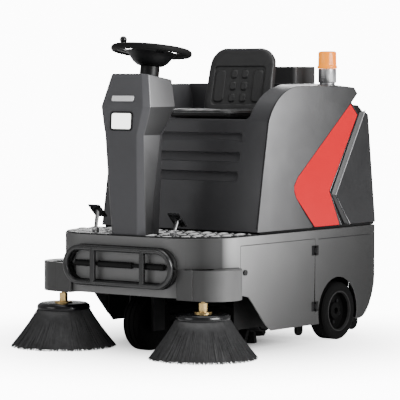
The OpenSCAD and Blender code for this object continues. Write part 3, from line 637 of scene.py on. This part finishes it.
def seat_opening():
    """Front view (X, Z) of the gap for the seat, with its lower corners sweeping up to the wings."""
    side = arc((292, LIP_Z + 24), 24, -90, 0, 8)
    return mirrored(side + [(319, 1053), (323, 1085), (331, 1112), (338, 1130), (338, 1400)])


def groove_cutter(z0, z1):
    """Plate that cuts a recess, deep along its top edge and running out at its bottom edge."""
    half, depth, corner = 290, 11, 9
    outline = round_rect(2 * half, z1 - z0, corner, (0, (z1 - z0) / 2))
    lean = atan2(CONSOLE_LIP_Y - CONSOLE_BASE_Y, LIP_Z - SHELL_LOW) + atan2(depth, z1 - z0)
    low_y = console_y(z0)

    def place(a, b, t):
        return (a, low_y + b * sin(lean) - t * cos(lean), z0 + b * cos(lean) + t * sin(lean))
    return mesh_of("groove", *prism(outline, 0, 30, place))


def shell_ring(x):
    """The shell's outline at X; its top rises from the wings towards the middle."""
    share = min(1.0, (SHELL_HALF - abs(x)) / (SHELL_HALF - WING_X))
    return [(x, y, z + share * TOP_RISE * max(0, min(1, (y + 60) / 180)) * (z > 1000))
            for y, z in shell_outline()]


def build_upper_shell():
    """Console, side shells and rear deck as one moulding, with its recesses and pockets."""
    rings = [shell_ring(x) for x in (-SHELL_HALF, -WING_X, WING_X, SHELL_HALF)]
    mesh = mesh_of("upper_shell", *loft(rings))
    obj = new_object("upper_shell", mesh, "side", "chassis",
                     ("seat_console", "side_shell_left", "side_shell_right", "rear_deck"))
    seat = mesh_of("seat", *prism(seat_opening(), -400, REAR_WALL_Y, along_y))
    well_wide, well_deep = 612, 412
    well = round_rect(well_wide, well_deep, 24, (0, REAR_WALL_Y - well_deep / 2))
    well = mesh_of("well", *prism(well, PLATFORM_Z, LIP_Z + 60, along_z))
    cut(obj, seat, well, *[groove_cutter(z0, z1) for z0, z1 in GROOVES])
    if not obj.data.materials:
        obj.data.materials.append(MAT["side"])
    add_bevel(obj, 2.0, 3, radians(40))
    bake(obj)
    for _, sign in reversed(SIDES):
        low, high = sorted((sign * (SHELL_HALF - POCKET_DEPTH), sign * (SHELL_HALF + 5)))
        hole = [(y, z - 20 * (z < 520)) for y, z in chevron_outline(1.5)]
        cut(obj, mesh_of("pocket", *prism(hole, low, high, along_x)))
    add_bevel(obj, 0.8, 2, radians(50))


def build_chevrons():
    """Red inserts, their black gasket and the black recess behind them."""
    for side, sign in SIDES:
        face = SHELL_HALF - 0.6
        low, high = sorted((sign * (face - 3), sign * face))
        mesh = mesh_of("chevron", *prism(chevron_outline(0), low, high, along_x))
        new_object(f"chevron_{side}", mesh, "red", "chassis",
                   ("chevrons",) if side == "left" else (), (1.2, 2))
        gasket = [(sign * (face - 0.4), y, z) for y, z in chevron_outline(1.2)]
        new_object(f"chevron_gasket_{side}", tube_mesh("gasket", gasket, 1.8, 8, closed=True),
                   "rubber", "chassis")
        # Painted highlight along the chevron's rear edge.
        rim = [(sign * (face - 0.6), y, z) for y, z in ((578, 994), (359, 659), (448, SHELL_LOW + 2))]
        new_object(f"chevron_rim_highlight_{side}", tube_mesh("rim", rim, 1.5, 8), "painted_highlight", "chassis")
        rings = []
        for y0, z0, y1, z1 in ((608, 1003, 634, 1009), (384, 647, 401, 642),
                               (492, SHELL_LOW, 514, SHELL_LOW)):
            ring = ((face - 9, y0, z0), (face, y1, z1), (face - 20, y1, z1), (face - 20, y0, z0))
            rings.append([(sign * x, y, z) for x, y, z in ring])
        new_object(f"channel_lip_{side}", mesh_of("lip", *loft(rings)), "grey_lip", "chassis",
                   bevel=(1.0, 2))
        # Painted highlight along the rounded front edge of the rear cover.
        edge = [(sign * (face - 0.6), y, z) for y, z in ((640, 1012), (405, 642), (519, SHELL_LOW + 2))]
        new_object(f"channel_edge_highlight_{side}", tube_mesh("edge", edge, 2.4, 8), "painted_highlight", "chassis")
    front = [(524, 1040), (580, 992), (357, 659), (447, SHELL_LOW)]
    back = [(519, SHELL_LOW), (405, 642), (638, 1008), (600, 1035)]
    mesh = mesh_of("rear_channel", *prism(front + back, 14 - SHELL_HALF, SHELL_HALF - 14, along_x))
    new_object("rear_channel", mesh, "gloss", "chassis", bevel=(1.5, 2))


def build_crease_shade():
    """Painted shade along the crease that runs up the front edge of each flank and round its shoulder.
    """
    for side, sign in SIDES:
        crease = [(CONSOLE_BASE_Y + 1, 520)] + SHOULDER + [(420, 1120)]
        path = [(sign * (SHELL_HALF - 6), y + 1.2, z - 1.2) for y, z in crease]
        # A black tube set into the crease paints its shade.
        new_object(f"shell_crease_shade_{side}", tube_mesh("seam", path, 3.2, 10), "black", "chassis")


# ---- Steering column ----

COLUMN_RINGS = [(496, 64, 28, -549, -478, -400), (628, 71, 25, -557, -476, -398),
                (921, 81, 24, -573, -438, -392), (960, 91, 25, -571, -410, -378),
                (1038, 108, 25, -565, -376, -353), (1176, 76, 24, -534, -356, -336)]
BADGE_PLACE = (0, -0.5585, 1.071)
BADGE_LEAN = radians(90 - 12.7)


def column_ring(z, flat, bevel, front, side_end, back):
    """Ring of the column's plan; the topmost one slopes back, square to the steering shaft."""
    outer = flat + bevel
    half = [(flat, front), (outer, front + bevel), (outer, side_end), (outer - 26, back)]
    slope = tan(COLUMN_TILT) if z > 1100 else 0
    return [(x, y, z - slope * (y - front)) for x, y in mirrored(half)]


def build_column():
    """Column cover and head as one shell, with a blank badge on its upper front."""
    mesh = mesh_of("column", *loft([column_ring(*r) for r in COLUMN_RINGS]))
    new_object("column_shell", mesh, "column", "chassis", ("column_cover", "column_head"),
               (4, 3, radians(7)))
    badge = mesh_of("badge", *prism(round_rect(118, 24, 6), 0, 3, along_z))
    badge.transform(Matrix.Translation(BADGE_PLACE) @ Matrix.Rotation(BADGE_LEAN, 4, "X"))
    new_object("badge_plate", badge, "steel", "chassis", bevel=(1.0, 2))


# ---- Side brushes ----

BRUSH_CENTRE = middle_mm("bristles_left")
BRUSH_TIP_R = box_mm("bristles_left")[1][0] - BRUSH_CENTRE[0]
BRUSH_TOP = box_mm("bristles_left")[1][2]
STRANDS_PER_RING = 380
STRAND_STEPS = 4
STRAND_LAYERS = ((111, BRUSH_TIP_R - 2, 1.9), (106, BRUSH_TIP_R - 9, 1.9), (98, BRUSH_TIP_R - 20, 2.1))


def strand(path, radius):
    """A tapering three-sided filament along a list of points."""
    rings = []
    for i, (x, y, z) in enumerate(path):
        r = radius * (1 - 0.35 * i / (len(path) - 1))
        rings.append([(x + r * cos(a), y + r * sin(a), z) for a in ring_angles(3)])
    return loft(rings)


def build_bristles(side, sign):
    """One brush: three layers of filaments round a plain core that closes the gaps."""
    rng = random.Random(11 if sign > 0 else 12)
    cx, cy = sign * BRUSH_CENTRE[0], BRUSH_CENTRE[1]
    parts = []
    for root, tip, thick in STRAND_LAYERS:
        for i in range(STRANDS_PER_RING):
            a = 2 * pi * (i + rng.uniform(-0.4, 0.4)) / STRANDS_PER_RING
            lean = rng.uniform(-0.05, 0.05)
            reach = tip - root + rng.uniform(-5, 2)
            low = rng.uniform(0.5, 5)
            path = []
            for step in range(STRAND_STEPS + 1):
                t = step / STRAND_STEPS
                r = root + reach * (0.82 * t + 0.18 * t * t)
                b = a + lean * t
                z = BRUSH_TOP - (BRUSH_TOP - low) * t
                path.append((cx + r * cos(b), cy + r * sin(b), z))
            parts.append(strand(path, thick))
    profile = [(60, BRUSH_TOP - 1), (104, BRUSH_TOP - 1), (BRUSH_TIP_R - 14, 9), (BRUSH_TIP_R - 50, 9),
               (60, BRUSH_TOP - 40), (60, BRUSH_TOP - 1)]
    parts.append(lathe(profile, (cx, cy, 0)))
    verts, faces = joined(parts)
    mesh = bpy.data.meshes.new("bristles")
    mesh.from_pydata([Vector(v) * MM for v in verts], [], faces)
    smooth(mesh, radians(70))
    new_object(f"bristle_tuft_{side}", mesh, "bristle", f"side_brush_{side}",
               (f"bristles_{side}",))


# ---- Tread mat ----

BAR_PITCH = 44
BAR_HALF, BAR_SIDE, BAR_RISE = 20, 4.6, 4.2
BAR_TURN = radians(38)
MAT_THICK = 5
PEDAL_X = 200
MAT_FRONT = box_mm("deck_mat")[0][1] + 1
MAT_LOW = box_mm("deck_mat")[0][2]


def plan_half_width(y, inset):
    """Half of the deck's width at a given Y, inside its round front corners."""
    half, front, corner = 434, -565, 226
    if y > front + corner:
        return half - inset
    reach = (corner - inset) ** 2 - (front + corner - y) ** 2
    return half - corner + sqrt(reach) if reach > 0 else -1


def tread_bar(x, y, turn, steps=10):
    """Lens-shaped rib on the mat, turned about its middle."""
    rings = []
    for s in range(steps + 1):
        u = -1 + 2 * s / steps
        swell = sqrt(max(0.02, 1 - u * u))
        ring = []
        for k in range(5):
            a = pi * k / 4
            px, py = BAR_HALF * u, BAR_SIDE * swell * cos(a)
            ring.append((x + px * cos(turn) - py * sin(turn),
                         y + px * sin(turn) + py * cos(turn),
                         MAT_LOW + MAT_THICK - 0.1 + BAR_RISE * swell * sin(a)))
        rings.append(ring)
    return loft(rings)


def has_bar(x, y):
    """True where the mat is clear of its edges, the column's foot and the pedal brackets."""
    off_mat = abs(x) > plan_half_width(y, 16) or y > -196
    at_column = abs(x) < 96 and y < -388
    at_pedal = abs(abs(x) - PEDAL_X) < 22 and -530 < y < -450
    return not (off_mat or at_column or at_pedal)


def build_tread():
    """Rubber mat with round front corners, and its slanted ribs."""
    half = [(plan_half_width(MAT_FRONT + d, 5), MAT_FRONT + d) for d in
            (0.3, 2, 6, 12, 20, 32, 48, 68, 92, 120, 150, 185, 220)]
    outline = mirrored(half + [(429, -190)])
    mesh = mesh_of("tread", *prism(outline, MAT_LOW, MAT_LOW + MAT_THICK, along_z))
    new_object("tread_base", mesh, "black", "chassis", ("deck_mat",), (0.8, 2))
    bars = []
    for r in range(int(390 / BAR_PITCH)):
        for c in range(-13, 14):
            x, y = c * BAR_PITCH + (r % 2) * BAR_PITCH / 2, MAT_FRONT + 14 + r * BAR_PITCH
            if has_bar(x, y):
                bars.append(tread_bar(x, y, BAR_TURN if (r + c) % 2 else -BAR_TURN))
    mesh = mesh_of("bars", *joined(bars))
    smooth(mesh, radians(60))
    new_object("tread_bars", mesh, "bar", "chassis")


# ---- Seat ----

SEAT_LEAN = radians(11.7)
SEAT_FOOT = (0, 0.234, 0.988)
VOXEL = 6.0
PRESSURE = 4.0
CLOTH_FRAMES = 20


def settle(mesh, name, cap):
    """Swells a closed pad with a cloth simulation and caps how far any point moved, in mm."""
    obj = bpy.data.objects.new(name, mesh)
    bpy.context.scene.collection.objects.link(obj)
    remesh = obj.modifiers.new("remesh", "REMESH")
    remesh.mode = "VOXEL"
    remesh.voxel_size = VOXEL * MM
    bake(obj)
    start = [v.co.copy() for v in obj.data.vertices]
    cloth = obj.modifiers.new("pad", "CLOTH")
    cloth.settings.use_pressure = True
    cloth.settings.uniform_pressure_force = PRESSURE
    cloth.settings.quality = 5
    cloth.settings.effector_weights.gravity = 0
    scene = bpy.context.scene
    for step in range(1, CLOTH_FRAMES + 1):
        scene.frame_set(step)
    bake(obj)
    for vertex, old in zip(obj.data.vertices, start):
        move = vertex.co - old
        if move.length > cap * MM:
            vertex.co = old + move.normalized() * cap * MM
    scene.frame_set(1)
    relax = obj.modifiers.new("relax", "SMOOTH")
    relax.factor = 0.5
    relax.iterations = 6
    divide = obj.modifiers.new("divide", "SUBSURF")
    divide.levels = 1
    divide.render_levels = 1
    bake(obj)
    return obj


def step_up(value, edge, soft):
    """Smooth step from 0 to 1 about an edge."""
    t = max(0.0, min(1.0, (value - edge + soft) / (2 * soft)))
    return t * t * (3 - 2 * t)


def inside(x, y, cx, cy, half_w, half_h, corner, soft=2.6):
    """1 inside a round-cornered rectangle, 0 outside, with a soft edge."""
    dx, dy = max(0, abs(x - cx) - half_w + corner), max(0, abs(y - cy) - half_h + corner)
    return 1 - step_up(hypot(dx, dy), corner, soft)


def back_relief(x, s):
    """Depth in mm of the moulded pattern on the backrest; s runs up the back from its foot."""
    depth = -7.0 * inside(x, s, 0, 136, 140, 87, 18)
    for side in (-1, 1):
        depth += 6.0 * inside(x, s, side * 104, 133, 26, 71, 18)
        for row in (80, 134, 188):
            depth += 6.0 * inside(x, s, side * 30, row, 15, 18, 11)
    return depth


def cushion_relief(x, y):
    """A rim, a sunken middle and three shallow channels across the cushion."""
    depth = -4.0 * inside(x, y, 0, 66, 136, 96, 22, 5)
    for row in (20, 66, 112):
        depth -= 2.5 * (1 - step_up(abs(y - row), 3, 3)) * inside(x, y, 0, 66, 136, 96, 22, 5)
    return depth


def dress(obj, replaced):
    """Vinyl on a swollen pad, which rides on the seat in place of its CAD node."""
    obj.data.shade_smooth()
    obj.data.materials.append(MAT["vinyl"])
    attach(obj, "seat")
    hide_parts(replaced)


def build_seat_back():
    """Backrest, made lying down and then leaned on its foot."""
    half, top = box_mm("seat_back")[1][0] + 1, 314
    foot_r, shoulder_r, taper = 50, 88, 8
    outline = mirrored(arc((half - foot_r, foot_r), foot_r, -90, 0, 8)
                       + arc((half - taper - shoulder_r, top - shoulder_r), shoulder_r, 0, 90, 12))
    obj = settle(mesh_of("back", *prism(outline, -26, 4, along_z)), "seat_backrest", 6.0)
    for vertex in obj.data.vertices:
        x, s, t = (c / MM for c in vertex.co)
        if t > -12:
            vertex.co.z += back_relief(x, s) * min(1, (t + 12) / 12) * MM
    obj.data.transform(Matrix.Translation(SEAT_FOOT) @ Matrix.Rotation(pi / 2 - SEAT_LEAN, 4, "X"))
    dress(obj, "seat_back")


def build_cushion():
    """Seat cushion, flat where it rests on the pan."""
    low, high = box_mm("seat_cushion")
    middle = middle_mm("seat_cushion")
    outline = round_rect(high[0] - low[0] - 12, high[1] - low[1] - 12, 56, (0, middle[1]), 10)
    obj = settle(mesh_of("pad", *prism(outline, low[2] + 5, high[2] - 5, along_z)), "seat_pad", 8.0)
    for vertex in obj.data.vertices:
        x, y, z = (c / MM for c in vertex.co)
        if z > middle[2]:
            vertex.co.z += cushion_relief(x, y) * min(1, (z - middle[2]) / 12) * MM
        vertex.co.z = max(vertex.co.z, (low[2] + 0.5) * MM)
    dress(obj, "seat_cushion")


def build_piping():
    """Piped seam round the cushion's waist."""
    low, high = box_mm("seat_cushion")
    middle = middle_mm("seat_cushion")
    path = round_rect(high[0] - low[0] - 2, high[1] - low[1] - 2, 60, (0, middle[1]), 10)
    path = [(x, y, middle[2] + 3) for x, y in path]
    new_object("cushion_piping", tube_mesh("piping", path, 2.6, closed=True), "vinyl", "seat")


# ---- Steering wheel ----

COLUMN_TILT = radians(8.2)
WHEEL_CENTRE = Vector((0, -0.367, 1.271))
ON_COLUMN = Matrix.Translation(WHEEL_CENTRE) @ Matrix.Rotation(-COLUMN_TILT, 4, "X")
RING_R = 159
RIM_R = 14


def column_piece(name, verts, faces, material, body, replaces=()):
    """Piece made about the middle of the steering wheel, then set on the leaning column."""
    mesh = mesh_of(name, verts, faces)
    mesh.transform(ON_COLUMN)
    smooth(mesh)
    new_object(name, mesh, material, body, replaces)


def build_steering_wheel():
    """Rim with finger grips, dished hub, three spokes and the collar on the column."""
    sides, steps = 20, 108
    verts, faces = [], []
    for a in ring_angles(steps):
        for b in ring_angles(sides):
            grip = 1 + 0.06 * cos(36 * a) * max(0, -sin(b))
            r = RING_R + RIM_R * grip * cos(b)
            verts.append((r * cos(a), r * sin(a), RIM_R * grip * sin(b)))
    for s in range(steps):
        for k in range(sides):
            j, t = (k + 1) % sides, (s + 1) % steps
            faces.append((s * sides + k, t * sides + k, t * sides + j, s * sides + j))
    column_piece("wheel_rim", verts, faces, "rubber", "steering_wheel", ("steering_rim",))
    hub = [(0.1, -66), (42, -66), (58, -61), (74, -49), (86, -34), (95, -20), (106, -13), (110, -10),
           (108, -6), (60, -4), (36, -4), (36, -13), (0.1, -13)]
    column_piece("wheel_hub", *lathe(hub, (0, 0, 0)), "black", "steering_wheel", ("steering_shaft",))
    arm = [(96, -12, 52), (112, -9, 42), (130, -5, 36), (150, -1, 38)]
    rings = [[(x, width / 2 * cos(a), z + 6 * sin(a)) for a in ring_angles(20)]
             for x, z, width in arm]
    for i, turn in enumerate((90, 210, 330)):
        verts, faces = loft(rings)
        c, s = cos(radians(turn)), sin(radians(turn))
        verts = [(x * c - y * s, x * s + y * c, z) for x, y, z in verts]
        column_piece(f"wheel_spoke_{i + 1}", verts, faces, "black", "steering_wheel")
    stub = [(0.1, -140), (42, -140), (42, -82), (40, -68), (0.1, -68)]
    column_piece("column_collar", *lathe(stub, (0, 0, 0)), "black", "chassis")


# ---- Beacon ----

def build_beacon():
    """Fluted lens dome on a turned metal can."""
    x, y, _ = middle_mm("beacon_lens")
    foot, base_z = box_mm("beacon_lens")[0][2], box_mm("beacon_base")[0][2]
    flutes = 40
    profile = [(0.1, 0), (42, 0), (44, 2), (44, 9), (42, 12), (40.5, 15), (40, 20), (40, 68), (38.5, 73),
               (34, 76), (20, 77.5), (0.1, 78)]
    rings = []
    for r, h in profile:
        ring = []
        for a in ring_angles(flutes * 4):
            ridge = 0.5 * cos(flutes * a) if 14 < h < 68 else 0
            ring.append((x + (r + ridge) * cos(a), y + (r + ridge) * sin(a), foot + h))
        rings.append(ring)
    mesh = mesh_of("lens", *loft(rings))
    smooth(mesh, radians(50))
    new_object("beacon_dome", mesh, "beacon", "chassis", ("beacon_lens",))
    top = foot - base_z
    profile = [(0.1, 0), (33, 0), (34, 2), (34, 10), (39, 12), (40, 14), (40, top - 3),
               (38, top - 0.3), (0.1, top - 0.3)]
    mesh = mesh_of("base", *lathe(profile, (x, y, base_z), steps=64))
    smooth(mesh)
    new_object("beacon_can", mesh, "steel", "chassis", ("beacon_base",))


# ---- Front details ----

BUMPER_ROD = (-581, 375)
BOLTS = ((360, -368), (279, -416))


def build_bumper_rod():
    """Tie rod behind the bumper with three rubber boots on it."""
    profile = [(0.1, -240), (10, -240), (12, -237)]
    for start, end in ((-237, -147), (-112, 68), (143, 237)):
        steps = max(6, int((end - start) / 7))
        for i in range(steps + 1):
            profile.append((13.2 + 0.8 * (-1) ** i, start + (end - start) * i / steps))
        profile += [(8, end + 1), (8, end + 3)]
        if end < 200:
            profile += [(8, end + 30), (8.5, end + 31)]
    profile += [(0.1, 241)]
    verts, faces = lathe(profile, (0, 0, 0), "X", 28)
    mesh = mesh_of("rod", [(x, y + BUMPER_ROD[0], z + BUMPER_ROD[1]) for x, y, z in verts], faces)
    smooth(mesh, radians(50))
    new_object("bumper_boots", mesh, "rubber", "chassis", ("bumper_rod",))


def build_pod_cheeks():
    """Flat cheeks that blend the brush pods into the front panel, and brass bolts under the pods."""
    z0, z1 = (corner[2] for corner in box_mm("brush_pods"))
    outline = [(285, -557), (285, -564), (289, -567.5), (340, -567.5), (366, -563), (366, -557)]
    bolt = [(0.1, -7), (5, -7), (6.5, -6), (6.5, -3), (9, -3), (9, 1), (0.1, 1)]
    for side, sign in SIDES:
        mesh = mesh_of("cheek", *prism([(sign * x, y) for x, y in outline], z0 + 1, z1 - 1, along_z))
        new_object(f"pod_cheek_{side}", mesh, "pod", "chassis", bevel=(0.8, 2))
        mesh = mesh_of("bolts", *joined([lathe(bolt, (sign * x, y, z0), "Z", 12) for x, y in BOLTS]))
        smooth(mesh)
        new_object(f"pod_bolts_{side}", mesh, "brass", "chassis")


def build_waist():
    """Black gasket in the joint between the upper and the lower body."""
    half, rear = SHELL_HALF - 4, box_mm("rear_cover")[1][1] - 5
    outline = mirrored([(half, -166), (half, rear - 10), (half - 3, rear - 3), (half - 10, rear)])
    new_object("waist_gasket", mesh_of("waist", *prism(outline, 497, SHELL_LOW + 3, along_z)), "rubber",
               "chassis")


def build_side_lines():
    """Dark joint line along each flank, in line with the top edge of the doors."""
    edge, end = box_mm("lower_body")[1][0], box_mm("lower_body")[1][1] - 60
    start = box_mm("door_hinges")[1][1] + 2
    outline = [(start, 453.5), (end, 453.5), (end, 456.5), (start, 456.5)]
    for side, sign in SIDES:
        mesh = mesh_of("line", *prism(outline, sign * (edge - 3), sign * (edge + 0.7), along_x))
        new_object(f"side_line_{side}", mesh, "black", "chassis")


def build_rim_lips():
    """Lighter lip ring inside the rim of each rear wheel."""
    for side, sign in SIDES:
        low, high = box_mm(f"rear_wheel_{side}")
        face = (high[0] if sign > 0 else low[0]) - sign * 2
        profile = [(81, -9), (84.5, 1.2), (88, 1.6), (89.5, 0), (88, -3), (81, -9)]
        centre = (face, *middle_mm(f"rear_wheel_{side}")[1:])
        mesh = mesh_of("lip", *lathe([(r, sign * h) for r, h in profile], centre, "X", 72))
        smooth(mesh, radians(50))
        new_object(f"rim_lip_{side}", mesh, "lip", f"rear_wheel_{side}")


def build_hopper_glides():
    """Small rubber feet under the hopper's front corners."""
    low, high = box_mm("hopper_rollers")
    outer, ground = high[0] - 6, low[2]
    radius, thick, height = 24, 18, 103
    middle = box_mm("hopper")[0][1] + 60
    outline = [(middle - radius, ground + height)]
    outline += arc((middle, ground + radius), radius, 180, 360, 14)
    outline += [(middle + radius, ground + height)]
    for side, sign in SIDES:
        mesh = mesh_of("glide", *prism(outline, sign * (outer - thick), sign * outer, along_x))
        new_object(f"hopper_glide_{side}", mesh, "rubber", "hopper",
                   bevel=(3, 3, radians(60)))


def build_outer_rollers():
    """Outer wheels of the hopper's twin rollers, on the ends of the same axle."""
    low, high = box_mm("hopper_rollers")
    centre = (0, *middle_mm("hopper_rollers")[1:])
    radius = (high[2] - low[2]) / 2
    profile = [(0.1, -2), (8, -2), (8, 14), (radius - 8, 14), (radius - 3, 16), (radius, 21),
               (radius, 39), (radius - 3, 44), (radius - 10, 46), (radius - 14, 42), (12, 42), (12, 46),
               (0.1, 46)]
    for side, sign in SIDES:
        turned = [(r, sign * (high[0] + x)) for r, x in profile]
        mesh = mesh_of("roller", *lathe(turned, centre, "X", 56))
        smooth(mesh)
        new_object(f"outer_roller_{side}", mesh, "tyre", "hopper_rollers")


def build_main_broom():
    """Broom sleeve: chevron rows of bristles, cut to a soft edge, on a thin backing."""
    low, high = box_mm("broom_bristles")
    _, cy, cz = middle_mm("broom_bristles")
    reach, root, half = (high[2] - low[2]) / 2, 70.2, 240
    rows, steps, lean, thick = 10, 40, radians(26), 7
    section = ((root + 3, -thick), (reach, -thick * 1.5), (reach, thick * 1.5), (root + 3, thick))
    random.seed(11)
    sleeve = [(root, -half), (root + 5, -half), (root + 5, half), (root, half), (root, -half)]
    parts = [lathe(sleeve, (0, cy, cz), "X", 48)]
    for row in range(rows):
        rings = []
        for i in range(steps + 1):
            x = -half + 2 * half * i / steps
            turn = 2 * pi * row / rows + lean * abs(x) / half
            trim = random.uniform(0.2, 3.0)
            c, s = cos(turn), sin(turn)
            ring = [(r - trim * (r == reach), w) for r, w in section]
            rings.append([(x, cy + r * c - w * s, cz + r * s + w * c) for r, w in ring])
        parts.append(loft(rings))
    mesh = mesh_of("broom", *joined(parts))
    smooth(mesh, radians(40))
    # Bristle colour darkened as painted shade under the body.
    new_object("main_broom_rows", mesh, "bristle_in_painted_shade", "main_broom",
               ("broom_bristles",))


def paint_details():
    """Second finish on parts of a CAD node: collars, knob plates, pedal stems, bumper feet."""
    for side, _ in SIDES:
        brush, door, pedal = f"side_brush_{side}", f"door_{side}", f"pedal_{side}"
        collar, plate = box_mm(brush)[0][2] + 25.1, box_mm(pedal)[1][2] - 58
        paint_faces(brush, "brass", lambda x, y, z: z > collar)
        paint_faces(door, "black", lambda x, y, z: abs(x) > 434.3 and y > 200)
        # Pedal stems: bright steel with a painted reflection.
        paint_faces(pedal, "bright", lambda x, y, z: z < plate)
    front = box_mm("lower_body")[0][1]
    paint_faces("bumper_loop", "lower", lambda x, y, z: y > front - 8)


def build_pedal_stems():
    """Flat bright stems under the pedal plates."""
    for side, sign, foot, top in (("left", 1, (-477, 506), (-449, 562)),
                                  ("right", -1, (-500, 506), (-486, 590))):
        along = Vector((0, top[0] - foot[0], top[1] - foot[1])).normalized()
        across = Vector((0, -along.z, along.y)) * 2.5
        section = ((-8.5, across), (8.5, across), (8.5, -across), (-8.5, -across))
        rings = [[(sign * PEDAL_X + x, y + q.y, z + q.z) for x, q in section] for y, z in (foot, top)]
        # Bright steel with a painted reflection.
        new_object(f"pedal_stem_{side}", mesh_of("stem", *loft(rings)), "bright", f"pedal_{side}",
                   bevel=(0.8, 2))


def build_bumper_frame_and_shadow():
    """Black band round the bumper's loop: the black frame behind its ends, and painted shadow of the
    tube on the front panel.
    """
    end, reach, front = 73.5, 208.5, box_mm("lower_body")[0][1]
    loop = arc((reach, 0), end, -90, 90, 16) + arc((-reach, 0), end, 90, 270, 16)
    path = [(x, front - 7, BUMPER_ROD[1] - 7 + z) for x, z in loop]
    new_object("bumper_frame_and_shadow", tube_mesh("backing", path, 14, 12, closed=True), "rubber", "chassis")


finish_cad()
build_upper_shell()
build_chevrons()
build_crease_shade()
build_column()
for brush in SIDES:
    build_bristles(*brush)
build_tread()
build_seat_back()
build_cushion()
build_piping()
build_steering_wheel()
build_beacon()
build_bumper_rod()
build_pod_cheeks()
build_waist()
paint_details()
build_pedal_stems()
build_bumper_frame_and_shadow()
build_side_lines()
build_rim_lips()
build_hopper_glides()
build_main_broom()
build_outer_rollers()
build_stage()
build_lights()
build_camera()
